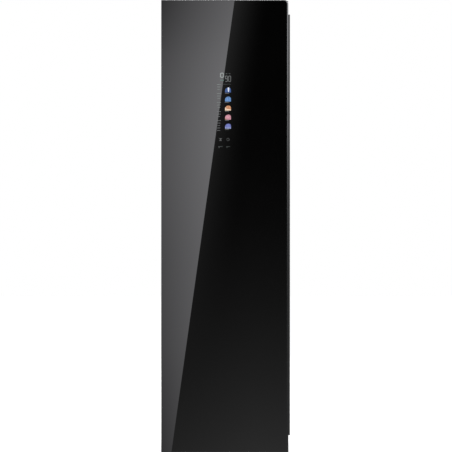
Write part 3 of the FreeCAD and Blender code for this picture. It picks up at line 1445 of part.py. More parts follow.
def door_slab(name, across, up, deep, far_round):
    """A slab of the door's outline: small corner rounds, and a larger one at the top of the handle side."""
    body = new_body(name)
    drawing = new_sketch(body, name + "_outline", "XZ_Plane", f"-({deep[1]})")
    draw_rectangle(drawing, across, up)
    slab = pad(body, name + "_pad", drawing, f"({deep[1]}) - ({deep[0]})")
    left, right = (value(limit) for limit in across)
    low, high = (value(limit) for limit in up)
    slab = round_edges(body, name + "_far", slab, [(right, high)], far_round)
    round_edges(body, name + "_near", slab, [(left, low), (left, high), (right, low)], "edge_round")
    return body


# ---- frame: a deep ring with a ledge behind the glass
GLASS_X = (f"-{HALF} + rim_hinge", f"{HALF} - rim_side")
GLASS_Z = (f"{DOOR_FOOT} + rim_foot", "cab_top - rim_top")
WINDOW_Z = inside(DOOR_Z, "ledge_width")
frame = cut(
    "frame_cut",
    door_slab("frame_slab", both_ways(HALF), DOOR_Z, (DOOR_FACE, DOOR_BACK), "corner_round"),
    door_slab("frame_room", both_ways(INNER_HALF), INNER_Z, (LEDGE_BACK, f"{DOOR_BACK} + {PAST}"), INNER_ROUND),
    door_slab("frame_rebate", GLASS_X, GLASS_Z, (f"{DOOR_FACE} - {PAST}", GLASS_BACK), "glass_round"),
    brick("frame_window", both_ways(f"{HALF} - ledge_width"), through((DOOR_FACE, LEDGE_BACK)), WINDOW_Z),
    brick("frame_slot", through((INNER_HALF, HALF)), GRIP_Y, GRIP_Z),
    hinge_notch("frame_notch"),
    rod("pin_hole", "pin_radius + hole_clear", "z", PIVOT, through((DOOR_FOOT, INNER_Z[0]))),
)
node("door_frame", frame)

# ---- glass, bonded into the rebate and flush with the rim
node("door_glass", door_slab("glass_slab", GLASS_X, GLASS_Z, (DOOR_FACE, GLASS_BACK), "glass_round"))

# ---- display board: lamps and touch pads, bonded behind the glass
DISPLAY_X = ("-display_left", "display_width - display_left")
DISPLAY_Y = (GLASS_BACK, f"{GLASS_BACK} + display_thick")
DISPLAY_Z = ("cab_top - display_head - display_height", "cab_top - display_head")
node("display_board", brick("display_slab", DISPLAY_X, DISPLAY_Y, DISPLAY_Z))

# ---- foam core, shaped round the finger channel, the hinge bearings and the display board
CORE_Y = (LEDGE_BACK, LINER_FACE)
BEARING_X = (f"-{INNER_HALF}", f"bearing_width - {INNER_HALF}")
UPPER_BEARING_Z = (f"{NOTCH_FLOOR} - bearing_block", NOTCH_FLOOR)
LOWER_BEARING_Z = (INNER_Z[0], f"{INNER_Z[0]} + bearing_block")
core_slab = door_slab("core_slab", both_ways(INNER_HALF), INNER_Z, CORE_Y, INNER_ROUND)
upper_block = brick("upper_bearing_block", BEARING_X, CORE_Y, UPPER_BEARING_Z)
lower_block = brick("lower_bearing_block", BEARING_X, CORE_Y, LOWER_BEARING_Z)
core = cut(
    "core_cut",
    core_slab,
    brick("core_grip", (GRIP_X, f"{HALF} + {PAST}"), GRIP_Y, GRIP_Z),
    brick("core_board", DISPLAY_X, (f"{LEDGE_BACK} - {PAST}", DISPLAY_Y[1]), DISPLAY_Z),
    hinge_notch("core_notch"),
    upper_block,
    lower_block,
)
node("door_core", core)

# ---- hinge bearings: plastic blocks in two corners of the core, with a bore for the pins
pin_bore = rod("pin_bore", "pin_radius + pin_clear", "z", PIVOT, through(DOOR_Z))
bearings = [
    cut(f"hinge_bearing_{i}", shared(f"bearing_corner_{i}", core_slab, corner), pin_bore)
    for i, corner in enumerate((upper_block, lower_block))
]
node("hinge_blocks", group("hinge_bearing_pair", *bearings))

# ---- handle: a channel profile let into the side of the door, whose front flange stands out as the lip
HANDLE_X = (GRIP_X, HALF)
handle = fuse(
    "grip_whole",
    brick("grip_front", (GRIP_X, f"{HALF} + grip_stand"), (GRIP_Y[0], f"{GRIP_Y[0]} + grip_wall"), GRIP_Z),
    brick("grip_web", (GRIP_X, f"{GRIP_X} + grip_wall"), GRIP_Y, GRIP_Z),
    brick("grip_rear", HANDLE_X, (f"{GRIP_Y[1]} - grip_wall", GRIP_Y[1]), GRIP_Z),
    brick("grip_end_low", HANDLE_X, GRIP_Y, (GRIP_Z[0], f"{GRIP_Z[0]} + grip_wall")),
    brick("grip_end_high", HANDLE_X, GRIP_Y, (f"{GRIP_Z[1]} - grip_wall", GRIP_Z[1])),
)
node("door_handle", handle)

# ---- inner liner of the door, with a raised plateau that reaches into the compartment
PLATEAU_X = both_ways(f"({HALF} - plateau_inset)")
PLATEAU_Z = ("cavity_floor + plateau_foot", f"{CAVITY_ROOF} - plateau_head")
PLATEAU_FACE = f"({DOOR_BACK} + plateau_rise)"
liner_sheet = door_slab("liner_sheet", both_ways(INNER_HALF), INNER_Z, (LINER_FACE, DOOR_BACK), INNER_ROUND)
plateau = brick("plateau", PLATEAU_X, (LINER_FACE, PLATEAU_FACE), PLATEAU_Z)
plateau_room = brick(
    "plateau_room",
    inside(PLATEAU_X, "liner_wall"),
    (f"{LINER_FACE} - {PAST}", f"{PLATEAU_FACE} - liner_wall"),
    inside(PLATEAU_Z, "liner_wall"),
)
door_liner = fuse("door_liner_whole", liner_sheet, plateau)
node("door_liner", cut("door_liner_cut", door_liner, plateau_room, hinge_notch("liner_notch")))

# ---- magnetic gasket round the whole opening
GASKET_HALF = f"({HALF} - gasket_inset)"
GASKET_Z = ("gasket_foot", "cab_top - gasket_head")
GASKET_FACE = f"({FRONT} - gasket_clear)"
gasket = new_body("gasket_body")
gasket_outline = new_sketch(gasket, "gasket_outline", "XZ_Plane", f"-{GASKET_FACE}")
draw_rectangle(gasket_outline, both_ways(GASKET_HALF), GASKET_Z)
draw_rectangle(gasket_outline, both_ways(f"{GASKET_HALF} - gasket_width"), inside(GASKET_Z, "gasket_width"))
pad(gasket, "gasket_ring", gasket_outline, f"{GASKET_FACE} - {DOOR_BACK}")
node("door_gasket", gasket)

# ---- trouser press: a board on the plateau, with two ears that hold the pin of the press plate
PRESS_Z = ("(cavity_floor + press_rise)", "(cavity_floor + press_rise + press_height)")
BOARD_BACK = f"({PLATEAU_FACE} + press_board)"
LEAF_Y = (f"({BOARD_BACK} + press_clear)", f"({BOARD_BACK} + press_clear + press_plate)")
KNUCKLE = ("(-press_half - knuckle_radius - knuckle_gap)", f"({middle_of(LEAF_Y)})")
EAR_X = (f"{KNUCKLE[0]} - knuckle_radius", "press_ear - press_half")
EAR_Y = (PLATEAU_FACE, f"{KNUCKLE[1]} + knuckle_radius")
press_board = fuse(
    "press_board_whole",
    brick("press_board_slab", both_ways("press_half"), (PLATEAU_FACE, BOARD_BACK), PRESS_Z),
    brick("press_ear_low", EAR_X, EAR_Y, (f"{PRESS_Z[0]} - press_ear", PRESS_Z[0])),
    brick("press_ear_high", EAR_X, EAR_Y, (PRESS_Z[1], f"{PRESS_Z[1]} + press_ear")),
    rod("press_pin_rod", "press_pin", "z", KNUCKLE, PRESS_Z),
)
node("press_board", press_board)

# ---- press plate: swings on the pin, away from the board
LEAF_Z = inside(PRESS_Z, "press_clear")
press_leaf = fuse(
    "press_leaf",
    brick("press_leaf_slab", (KNUCKLE[0], "press_half - press_end"), LEAF_Y, LEAF_Z),
    rod("press_knuckle", "knuckle_radius", "z", KNUCKLE, LEAF_Z),
)
press_bore = rod("press_bore", "press_pin + pin_clear", "z", KNUCKLE, through(PRESS_Z))
node("press_plate", cut("press_leaf_cut", press_leaf, press_bore))

# ---- upper hinge bracket: a leg on the front of the carcass, a tongue over the door's bearing, and the pin
TONGUE_Z = ("cab_top - tongue_drop - hinge_plate", "cab_top - tongue_drop")
LEG_X = (f"{PIVOT_X} - tongue_half", f"{PIVOT_X} - tongue_half + leg_width")
LEG_Z = ("cab_top - leg_drop", TONGUE_Z[1])
LEG_FACE = f"({FRONT} - hinge_plate)"
LEG_SCREW_X = f"{LEG_X[1]} - tongue_half"
leg_screws = [
    rod(f"leg_screw_{i}", "leg_screw", "y", (LEG_SCREW_X, z), (f"{LEG_FACE} - screw_rise", LEG_FACE))
    for i, z in enumerate(inside(LEG_Z, "tongue_half"))
]
upper_hinge = fuse(
    "upper_hinge_whole",
    brick("upper_tongue", about(PIVOT_X, "tongue_half"), (PIVOT_Y, FRONT), TONGUE_Z),
    rod("upper_tongue_end", "tongue_half", "z", PIVOT, TONGUE_Z),
    brick("upper_leg", LEG_X, (LEG_FACE, FRONT), LEG_Z),
    rod("upper_pin", "pin_radius", "z", PIVOT, (f"{NOTCH_FLOOR} - pin_reach", TONGUE_Z[1])),
    *leg_screws,
)
node("upper_hinge_bracket", upper_hinge)

# ---- lower hinge bracket: a plate under the carcass with a thrust washer and the pin
SOLE_Y = (PIVOT_Y, f"{FRONT} + foot_plate_reach")
SOLE_Z = ("(foot_height - foot_plate)", "foot_height")
lower_hinge = fuse(
    "lower_hinge_whole",
    brick("lower_plate", about(PIVOT_X, "foot_plate_half"), SOLE_Y, SOLE_Z),
    rod("lower_plate_end", "foot_plate_half", "z", PIVOT, SOLE_Z),
    rod("lower_washer", "pin_radius + washer_wall", "z", PIVOT, ("foot_height", f"{DOOR_FOOT} - thrust_clear")),
    rod("lower_pin", "pin_radius", "z", PIVOT, (SOLE_Z[0], f"{INNER_Z[0]} + pin_reach")),
)
node("lower_hinge_bracket", lower_hinge)

# ================================================================ check and write
doc.recompute()
for thing in doc.Objects:
    if set(thing.State) & {"Invalid", "Error"}:
        raise RuntimeError(f"{thing.Name} ({thing.Label}) failed: {thing.State}")
for label, made in pieces.items():
    if made.Shape.isNull() or not made.Shape.isValid() or not made.Shape.Solids:
        raise RuntimeError(f"{label} has no valid solid")
os.makedirs("parts", exist_ok=True)
for label, made in pieces.items():
    made.Shape.exportStep(f"parts/{label}.step")
print(f"wrote {len(pieces)} nodes")
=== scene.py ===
"""Clothes care steam cabinet: a finish on every part of the frame, and what the solids leave plain.

Metres in the cabinet's own frame: +Z up, the door faces -Y, the hinges are on the -X side.
"""
import json
import math
import bmesh
import bpy
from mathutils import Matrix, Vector

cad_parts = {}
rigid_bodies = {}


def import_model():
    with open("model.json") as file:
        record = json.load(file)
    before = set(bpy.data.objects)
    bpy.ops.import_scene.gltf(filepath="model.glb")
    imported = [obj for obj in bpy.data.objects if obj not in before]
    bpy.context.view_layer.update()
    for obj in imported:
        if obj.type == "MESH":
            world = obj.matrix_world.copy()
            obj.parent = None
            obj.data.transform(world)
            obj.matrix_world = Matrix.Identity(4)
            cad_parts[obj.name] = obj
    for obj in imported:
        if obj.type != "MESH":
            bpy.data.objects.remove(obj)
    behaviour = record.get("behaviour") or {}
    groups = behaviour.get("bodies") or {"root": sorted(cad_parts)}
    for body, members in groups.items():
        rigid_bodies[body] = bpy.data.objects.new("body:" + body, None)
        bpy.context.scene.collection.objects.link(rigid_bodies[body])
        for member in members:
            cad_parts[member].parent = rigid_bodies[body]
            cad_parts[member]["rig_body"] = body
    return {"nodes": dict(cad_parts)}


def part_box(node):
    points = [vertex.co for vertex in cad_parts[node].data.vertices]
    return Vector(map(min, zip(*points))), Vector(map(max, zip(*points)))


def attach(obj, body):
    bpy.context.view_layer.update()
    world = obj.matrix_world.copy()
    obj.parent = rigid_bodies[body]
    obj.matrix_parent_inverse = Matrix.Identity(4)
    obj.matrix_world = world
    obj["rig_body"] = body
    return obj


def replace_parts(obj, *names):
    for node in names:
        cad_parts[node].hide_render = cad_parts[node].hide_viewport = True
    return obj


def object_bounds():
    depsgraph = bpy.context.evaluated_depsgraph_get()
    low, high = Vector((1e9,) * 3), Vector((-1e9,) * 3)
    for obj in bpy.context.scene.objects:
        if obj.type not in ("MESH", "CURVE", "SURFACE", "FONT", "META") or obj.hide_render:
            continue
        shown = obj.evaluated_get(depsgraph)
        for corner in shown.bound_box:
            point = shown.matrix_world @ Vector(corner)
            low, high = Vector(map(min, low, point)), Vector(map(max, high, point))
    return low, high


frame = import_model()
cad_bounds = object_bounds()


# ---- Base pan, deck, roof beam and rear sheets
# Folded from hot-dip galvanised steel, 1 to 1.5 mm thick, and screwed to the side panels. The zinc
# freezes in crystals a centimetre or two across, each with its own shade.
def look(finish, socket):
    """The socket of that name on a finish's shader."""
    return finish.node_tree.nodes["Principled BSDF"].inputs[socket]


def new_finish(name, roughness, metallic=0.0):
    finish = bpy.data.materials.new(name)
    finish.use_nodes = True
    look(finish, "Roughness").default_value = roughness
    look(finish, "Metallic").default_value = metallic
    return finish


def pattern(finish, per_metre, kind="Noise", stretch=(1, 1, 1), output=0):
    """A texture laid out in the piece's own coordinates."""
    tree = finish.node_tree
    place = tree.nodes.new("ShaderNodeTexCoord")
    fit = tree.nodes.new("ShaderNodeMapping")
    texture = tree.nodes.new("ShaderNodeTex" + kind)
    fit.inputs["Scale"].default_value = stretch
    texture.inputs["Scale"].default_value = per_metre
    tree.links.new(place.outputs["Object"], fit.inputs["Vector"])
    tree.links.new(fit.outputs["Vector"], texture.inputs["Vector"])
    return texture.outputs[output]


def clouds(finish, source):
    """A ready pattern as it is; a number becomes a noise of that many clouds a metre."""
    return source if isinstance(source, bpy.types.NodeSocket) else pattern(finish, source)


def spread(tree, source, target, low, high, start=0.3, end=0.7):
    """Drives a socket between two values, while the source runs from start to end."""
    scaled = tree.nodes.new("ShaderNodeMapRange")
    ends = {"From Min": start, "From Max": end, "To Min": low, "To Max": high}
    for socket, setting in ends.items():
        scaled.inputs[socket].default_value = setting
    tree.links.new(source, scaled.inputs["Value"])
    tree.links.new(scaled.outputs["Result"], target)


def gloss(finish, source, low, high):
    """Lets the roughness run between two values."""
    spread(finish.node_tree, clouds(finish, source), look(finish, "Roughness"), low, high)


def tint(finish, source, dark, light, start=0.3, end=0.7, socket="Base Color"):
    """Lets a colour run between two, while the source runs from start to end."""
    tree = finish.node_tree
    ramp = tree.nodes.new("ShaderNodeValToRGB")
    for stop, place, colour in zip(ramp.color_ramp.elements, (start, end), (dark, light)):
        stop.position = place
        stop.color = (*colour, 1)
    tree.links.new(clouds(finish, source), ramp.inputs["Fac"])
    tree.links.new(ramp.outputs["Color"], look(finish, socket))


def emboss(finish, source, height):
    """Raises the surface with a pattern, by a height in metres."""
    tree = finish.node_tree
    bump = tree.nodes.new("ShaderNodeBump")
    bump.inputs["Distance"].default_value = height
    tree.links.new(clouds(finish, source), bump.inputs["Height"])
    tree.links.new(bump.outputs["Normal"], look(finish, "Normal"))


def shades(colour, *factors):
    """One colour made darker or lighter, once for each factor."""
    return [tuple(channel * factor for channel in colour) for factor in factors]


def dress(finish, *nodes):
    for node in nodes:
        for slot in frame["nodes"][node].material_slots:
            slot.material = finish


galvanised = new_finish("galvanised_steel", 0.4, 1.0)
spangle = pattern(galvanised, 70, "Voronoi", output=1)
tint(galvanised, spangle, (0.36, 0.37, 0.38), (0.52, 0.53, 0.54), 0.1, 0.9)
gloss(galvanised, 120, 0.32, 0.5)
emboss(galvanised, 400, 0.0001)
dress(galvanised, "base_pan", "deck_plate", "roof_beam", "back_panel", "service_cover")

# ---- Rear screws
# Sixteen zinc plated pan head screws with a cross recess hold the back panel and the service cover
# to the flanges of the side panels. They are driven from behind.
SCREW_INSET = 0.004  # from the end of a row to the middle of its last screw
ROW_GAP = 0.060  # from the top of the service cover to the nearest screws, above and below it
SERVICE_SCREWS = 3
PANEL_SCREWS = 5
SCREW_HEAD = {"Head Radius": 0.004, "Head Height": 0.0025, "Recess Width": 0.001}
RECESS_REACH = 1.2  # the length of a recess arm, in head radii
RECESS_LIFT = 1.15  # the height of its middle, in head heights


def new_growth(name, *sizes):
    """A Geometry Nodes tree that takes a mesh, named sizes, a profile and a finish."""
    growth = bpy.data.node_groups.new(name, "GeometryNodeTree")
    floats = [(size, "Float") for size in sizes]
    sockets = [("Seed Mesh", "Geometry"), *floats, ("Profile", "Object"), ("Finish", "Material")]
    for label, kind in sockets:
        growth.interface.new_socket(label, in_out="INPUT", socket_type="NodeSocket" + kind)
    growth.interface.new_socket("Grown Mesh", in_out="OUTPUT", socket_type="NodeSocketGeometry")
    return growth, growth.nodes.new("NodeGroupInput").outputs


def step(tree, kind, sockets, **settings):
    """Adds a node, sets its sockets to values, outputs or lists of them, gives its first output."""
    made = tree.nodes.new(kind)
    for name, setting in settings.items():
        setattr(made, name, setting)
    for name, sources in sockets.items():
        for source in sources if isinstance(sources, list) else [sources]:
            if isinstance(source, bpy.types.NodeSocket):
                tree.links.new(source, made.inputs[name])
            else:
                made.inputs[name].default_value = source
    return made.outputs[0]


def sums(tree, operation, *values):
    return step(tree, "ShaderNodeMath", dict(enumerate(values)), operation=operation)


def end_growth(growth, shapes, finish):
    """Ends a tree in one plain mesh with its finish."""
    plain = step(growth, "GeometryNodeRealizeInstances", {"Geometry": shapes})
    dressed = step(growth, "GeometryNodeSetMaterial", {"Geometry": plain, "Material": finish})
    growth.links.new(dressed, growth.nodes.new("NodeGroupOutput").inputs[0])


def end_on_points(growth, sizes, shape, turn=(0, 0, 0)):
    """Ends a tree with its shape set on every corner of the seed mesh."""
    placing = {"Points": sizes["Seed Mesh"], "Instance": shape, "Rotation": turn}
    end_growth(growth, step(growth, "GeometryNodeInstanceOnPoints", placing), sizes["Finish"])


def put(name, data):
    """Puts a mesh, a lamp or a camera in the scene."""
    made = bpy.data.objects.new(name, data)
    bpy.context.scene.collection.objects.link(made)
    return made


def grown(growth, points, finish, settings, edges=()):
    """Carries a tree out on points, or on the line that edges make of them, as a plain mesh."""
    seed = bpy.data.meshes.new("seed")
    seed.from_pydata(points, edges, [])
    draft = put("draft", seed)
    modifier = draft.modifiers.new("growth", "NODES")
    modifier.node_group = growth
    inputs = {**settings, "Finish": finish}
    for socket in growth.interface.items_tree:
        if socket.in_out == "INPUT" and socket.name in inputs:
            modifier[socket.identifier] = inputs[socket.name]
    bpy.context.view_layer.update()
    seen = draft.evaluated_get(bpy.context.evaluated_depsgraph_get())
    mesh = bpy.data.meshes.new_from_object(seen)
    bpy.data.objects.remove(draft)
    return mesh


def as_mesh(name, work):
    mesh = bpy.data.meshes.new(name)
    work.to_mesh(mesh)
    work.free()
    return mesh


def new_piece(name, mesh, finish, body):
    """Puts a mesh in the scene, with its faces outward, as a piece of one body."""
    work = bmesh.new()
    work.from_mesh(mesh)
    bmesh.ops.recalc_face_normals(work, faces=work.faces)
    work.to_mesh(mesh)
    work.free()
    mesh.materials.clear()
    mesh.materials.append(finish)
    mesh.shade_smooth()
    mesh.set_sharp_from_angle(angle=math.radians(35))
    piece = put(name, mesh)
    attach(piece, body)
    return piece


zinc_plate = new_finish("zinc_plated_screw", 0.3, 1.0)
tint(zinc_plate, 600, (0.50, 0.50, 0.48), (0.66, 0.66, 0.64))
gloss(zinc_plate, 900, 0.22, 0.38)
heads, sizes = new_growth("pan_head_screws", "Head Radius", "Head Height", "Recess Width")
radius, height = sizes["Head Radius"], sizes["Head Height"]
ball = step(heads, "GeometryNodeMeshUVSphere", {"Segments": 20, "Rings": 10, "Radius": 1.0})
flat = step(heads, "ShaderNodeCombineXYZ", {0: radius, 1: radius, 2: height})
dome = step(heads, "GeometryNodeTransform", {"Geometry": ball, "Scale": flat})
reach = sums(heads, "MULTIPLY", radius, RECESS_REACH)
arm = step(heads, "ShaderNodeCombineXYZ", {0: reach, 1: sizes["Recess Width"], 2: height})
rise = sums(heads, "MULTIPLY", height, RECESS_LIFT)
arm_place = {
    "Geometry": step(heads, "GeometryNodeMeshCube", {"Size": arm}),
    "Translation": step(heads, "ShaderNodeCombineXYZ", {2: rise}),
}
arms = [
    step(heads, "GeometryNodeTransform", {**arm_place, "Rotation": (0, 0, turn)})
    for turn in (math.pi / 4, -math.pi / 4)
]
cut = {"operation": "DIFFERENCE", "solver": "MANIFOLD"}
recessed = step(heads, "GeometryNodeMeshBoolean", {0: dome, 1: arms}, **cut)
end_on_points(heads, sizes, recessed, (-math.pi / 2, 0, 0))
screws_low, screws_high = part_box("panel_screws")
cover_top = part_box("service_cover")[1].z
seat = screws_high.y - SCREW_HEAD["Head Height"]
rows = (
    (screws_low.z + SCREW_INSET, cover_top - ROW_GAP, SERVICE_SCREWS),
    (cover_top + ROW_GAP, screws_high.z - SCREW_INSET, PANEL_SCREWS),
)
spots = [
    (side, seat, low + (high - low) * i / (count - 1))
    for side in (screws_low.x + SCREW_INSET, screws_high.x - SCREW_INSET)
    for low, high, count in rows
    for i in range(count)
]
screw_mesh = grown(heads, spots, zinc_plate, SCREW_HEAD)
screws = new_piece("rear_screws", screw_mesh, zinc_plate, "carcass")
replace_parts(screws, "panel_screws")

# ---- Levelling feet
# A nylon pad with a knurled rim, moulded on an M8 stud, and a hexagonal locknut above it. The
# front pair is turned by hand to level the cabinet; all four carry it.
PAD_HIGH = 0.007
PAD_CORNERS = 96
KNURLS = 16
KNURL_DEPTH = 0.0008
NUT_TOP = 0.0117
NUT_RADIUS = 0.008
NUT_CHAMFER = 0.0008
STUD_RADIUS = 0.004
STUD_CORNERS = 20
STUD_CHAMFER = 0.0008
THREAD_DEPTH = 0.0006
THREAD_PITCH = 0.00125
PAD_PROFILE = ((-0.002, 0.0), (0.0, 0.0015), (0.0, 0.0052), (-0.0015, PAD_HIGH))
NUT_PROFILE = (  # as the pad's: out from its radius, and height
    (-NUT_CHAMFER, PAD_HIGH), (0.0, PAD_HIGH + NUT_CHAMFER),
    (0.0, NUT_TOP - NUT_CHAMFER), (-NUT_CHAMFER, NUT_TOP),
)


def stacked_mesh(name, rings):
    """A closed solid over outlines that have equally many corners, each joined to the next."""
    work = bmesh.new()
    rows = [[work.verts.new(point) for point in ring] for ring in rings]
    count = len(rows[0])
    for near, far in zip(rows, rows[1:]):
        for i in range(count):
            work.faces.new((near[i], near[(i + 1) % count], far[(i + 1) % count], far[i]))
    work.faces.new(rows[0])
    work.faces.new(list(reversed(rows[-1])))
    return as_mesh(name, work)


def turned_ring(centre, radius, height, corners, knurls=0, depth=0.0):
    """A level ring of points; knurls are shallow hollows round it."""
    ring = []
    for i in range(corners):
        angle = 2 * math.pi * i / corners
        here = radius - depth * (0.5 - 0.5 * math.cos(knurls * angle))
        ring.append((centre.x + here * math.cos(angle), centre.y + here * math.sin(angle), height))
    return ring


def joined(name, meshes):
    """One mesh of several solids that belong to one moulding or one set."""
    work = bmesh.new()
    for mesh in meshes:
        work.from_mesh(mesh)
    return as_mesh(name, work)


def foot(node, centre, stud_top, rim):
    """The pad, and the stud with its nut, of one foot."""
    pad = [
        turned_ring(centre, rim + out, height, PAD_CORNERS, KNURLS, KNURL_DEPTH)
        for out, height in PAD_PROFILE
    ]
    nut = [turned_ring(centre, NUT_RADIUS + out, height, 6) for out, height in NUT_PROFILE]
    turns = []
    height = NUT_TOP
    while height + THREAD_PITCH < stud_top:
        turns += [(STUD_RADIUS - THREAD_DEPTH, height), (STUD_RADIUS, height + THREAD_PITCH / 2)]
        height += THREAD_PITCH
    turns.append((STUD_RADIUS - STUD_CHAMFER, stud_top))
    thread = [turned_ring(centre, radius, height, STUD_CORNERS) for radius, height in turns]
    stud = joined(node + "_stud", [stacked_mesh("nut", nut), stacked_mesh("thread", thread)])
    return stacked_mesh(node + "_pad", pad), stud


nylon = new_finish("foot_nylon", 0.55)
tint(nylon, 60, (0.016, 0.016, 0.017), (0.03, 0.03, 0.031))
gloss(nylon, 300, 0.5, 0.65)
emboss(nylon, 1800, 0.00006)
for node in ("front_foot_left", "front_foot_right"):
    low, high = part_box(node)
    pad, stud = foot(node, (low + high) / 2, high.z, (high.x - low.x) / 2)
    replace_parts(new_piece(node + "_pad", pad, nylon, node), node)
    new_piece(node + "_stud", stud, zinc_plate, node)
low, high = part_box("rear_feet")
rim = (high.y - low.y) / 2
rear = [
    foot("rear_foot", Vector((side, low.y + rim, 0)), high.z, rim)
    for side in (low.x + rim, high.x - rim)
]
rear_pads = joined("rear_pads", [pad for pad, stud in rear])
rear_studs = joined("rear_studs", [stud for pad, stud in rear])
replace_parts(new_piece("rear_foot_pads", rear_pads, nylon, "carcass"), "rear_feet")
new_piece("rear_foot_studs", rear_studs, zinc_plate, "carcass")

# ---- Side panels and top cover
# Cold rolled sheet, folded and powder coated in graphite. The coat has the fine orange peel of
# sprayed powder, and the folds of the cover show a small bend radius.
GRAPHITE = (0.030, 0.031, 0.033)
powder_coat = new_finish("graphite_powder_coat", 0.5, 0.2)
tint(powder_coat, 25, *shades(GRAPHITE, 0.97, 1.04))
gloss(powder_coat, 150, 0.44, 0.56)
emboss(powder_coat, 900, 0.00008)
dress(powder_coat, "left_side_panel", "right_side_panel")


def merged_copy(node):
    """A part's mesh with its doubled corners merged, ready to be worked on."""
    work = bmesh.new()
    work.from_mesh(frame["nodes"][node].data)
    bmesh.ops.remove_doubles(work, verts=work.verts, dist=1e-5)
    return work


def stand_in(node, work, name, finish):
    """Makes the worked mesh the piece that is seen in place of the part."""
    part = frame["nodes"][node]
    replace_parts(new_piece(name, as_mesh(name, work), finish, part["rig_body"]), node)


def eased(node, width, finish, segments=2):
    """Stands a copy with every sharp edge rounded, to a width, in for a part."""
    work = merged_copy(node)
    level = math.radians(1)
    bmesh.ops.dissolve_limit(work, angle_limit=level, verts=work.verts, edges=work.edges)
    inner = [edge for edge in work.edges if len(edge.link_faces) == 2]
    sharp = [edge for edge in inner if edge.calc_face_angle(0) > math.radians(25)]
    bmesh.ops.bevel(
        work, geom=sharp, offset=width, segments=segments, profile=0.5, affect="EDGES",
        clamp_overlap=True,
    )
    stand_in(node, work, node + "_eased", finish)


eased("top_cover", 0.0012, powder_coat)

# ---- Mains inlet
# A three pin socket moulded in black glass filled nylon. It snaps into a window low in the service
# cover, and its flange lies on the sheet round the window.
NYLON_BLACK = (0.014, 0.014, 0.015)
black_nylon = new_finish("black_nylon", 0.5)
tint(black_nylon, 90, *shades(NYLON_BLACK, 0.85, 1.3))
gloss(black_nylon, 350, 0.42, 0.58)
emboss(black_nylon, 2600, 0.00005)
eased("power_inlet", 0.0005, black_nylon)

# ---- Insulation
# Closed cell polyurethane foam round the compartment and inside the door, pale yellow, with open
# cells where it is cut.
foam = new_finish("polyurethane_foam", 0.9)
cells = pattern(foam, 900, "Voronoi")
tint(foam, cells, (0.55, 0.46, 0.27), (0.72, 0.63, 0.42), 0.0, 0.6)
emboss(foam, cells, 0.0004)
dress(foam, "insulation", "door_core")

# ---- Compartment liner
# Five ABS panels and two shelf rails, moulded in mid grey with a fine spark-eroded grain, clipped
# together and sealed.
LINER_GREY = (0.30, 0.305, 0.31)
liner_plastic = new_finish("liner_grey_plastic", 0.5)
tint(liner_plastic, 9, *shades(LINER_GREY, 0.95, 1.05))
gloss(liner_plastic, 220, 0.45, 0.58)
emboss(liner_plastic, 2200, 0.00005)
dress(liner_plastic, "compartment_liner")

# ---- Compartment fittings
# Charcoal ABS mouldings that come out for cleaning or snap into the liner: the shelf, the outlet
# grille with its steam nozzle, the lint filter with its grips, and the fascia round the tanks.
CHARCOAL = (0.035, 0.036, 0.038)
charcoal = new_finish("charcoal_plastic", 0.5)
tint(charcoal, 40, *shades(CHARCOAL, 0.94, 1.08))
gloss(charcoal, 260, 0.42, 0.6)
emboss(charcoal, 2400, 0.00006)
eased("shelf", 0.0014, charcoal)
for node in ("outlet_grille", "lint_filter", "front_fascia"):
    eased(node, 0.0009, charcoal)
dress(charcoal, "steam_nozzle")

# ---- Ceiling lamp
# An opal polycarbonate lens, prismatic below, over a row of light diodes. It snaps into the
# ceiling of the liner and comes on with the door.
PRISM = {"Prism Length": 0.120, "Prism Radius": 0.0016}
PRISM_PITCH = 0.004
PRISM_ROW = 10
PRISM_SINK = 0.0006  # from the underside of the lamp up to the middle of a prism
lens = new_finish("opal_lens", 0.35)
tint(lens, 30, (0.80, 0.80, 0.78), (0.88, 0.88, 0.86))
waves = pattern(lens, 60, "Wave", output=1)
tint(lens, waves, (0.8, 0.82, 0.85), (1, 0.97, 0.92), socket="Emission Color")
look(lens, "Emission Strength").default_value = 0.6
prisms, sizes = new_growth("lens_prisms", "Prism Length", "Prism Radius")
rod_sizes = {"Vertices": 12, "Radius": sizes["Prism Radius"], "Depth": sizes["Prism Length"]}
rod = step(prisms, "GeometryNodeMeshCylinder", rod_sizes)
laid = step(prisms, "GeometryNodeTransform", {"Geometry": rod, "Rotation": (0, math.pi / 2, 0)})
end_on_points(prisms, sizes, laid)


def row_of(count, pitch, middle):
    """Places in a row, evenly to both sides of its middle."""
    return [middle + (i - (count - 1) / 2) * pitch for i in range(count)]


lamp_low, lamp_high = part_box("ceiling_lamp")
lamp_middle = (lamp_low + lamp_high) / 2
prism_rows = row_of(PRISM_ROW, PRISM_PITCH, lamp_middle.y)
spots = [(lamp_middle.x, y, lamp_low.z + PRISM_SINK) for y in prism_rows]
eased("ceiling_lamp", 0.0015, lens)
new_piece("lamp_prisms", grown(prisms, spots, lens, PRISM), lens, "carcass")

# ---- Hanger rail and its drive
# A steel tube plated in satin nickel slides in two plastic guides. Above the ceiling a motor turns
# a crank by a toothed belt, and the crank's peg shakes the slotted block on the tube.
nickel = new_finish("satin_nickel", 0.3, 1.0)
drawn_lines = pattern(nickel, 30, stretch=(1, 40, 40))
tint(nickel, drawn_lines, (0.50, 0.49, 0.47), (0.62, 0.61, 0.59))
gloss(nickel, pattern(nickel, 40, stretch=(1, 60, 60)), 0.24, 0.36)
dress(nickel, "rail_tube")
motor_steel = new_finish("turned_motor_steel", 0.35, 1.0)
tool_lines = pattern(motor_steel, 50, stretch=(1, 1, 30))
tint(motor_steel, tool_lines, (0.40, 0.40, 0.41), (0.50, 0.50, 0.51))
gloss(motor_steel, pattern(motor_steel, 80, stretch=(1, 1, 30)), 0.28, 0.42)
dress(motor_steel, "drive_motor", "fan_motor")
belt_rubber = new_finish("belt_rubber", 0.7)
tint(belt_rubber, 200, (0.012, 0.012, 0.012), (0.024, 0.024, 0.024))
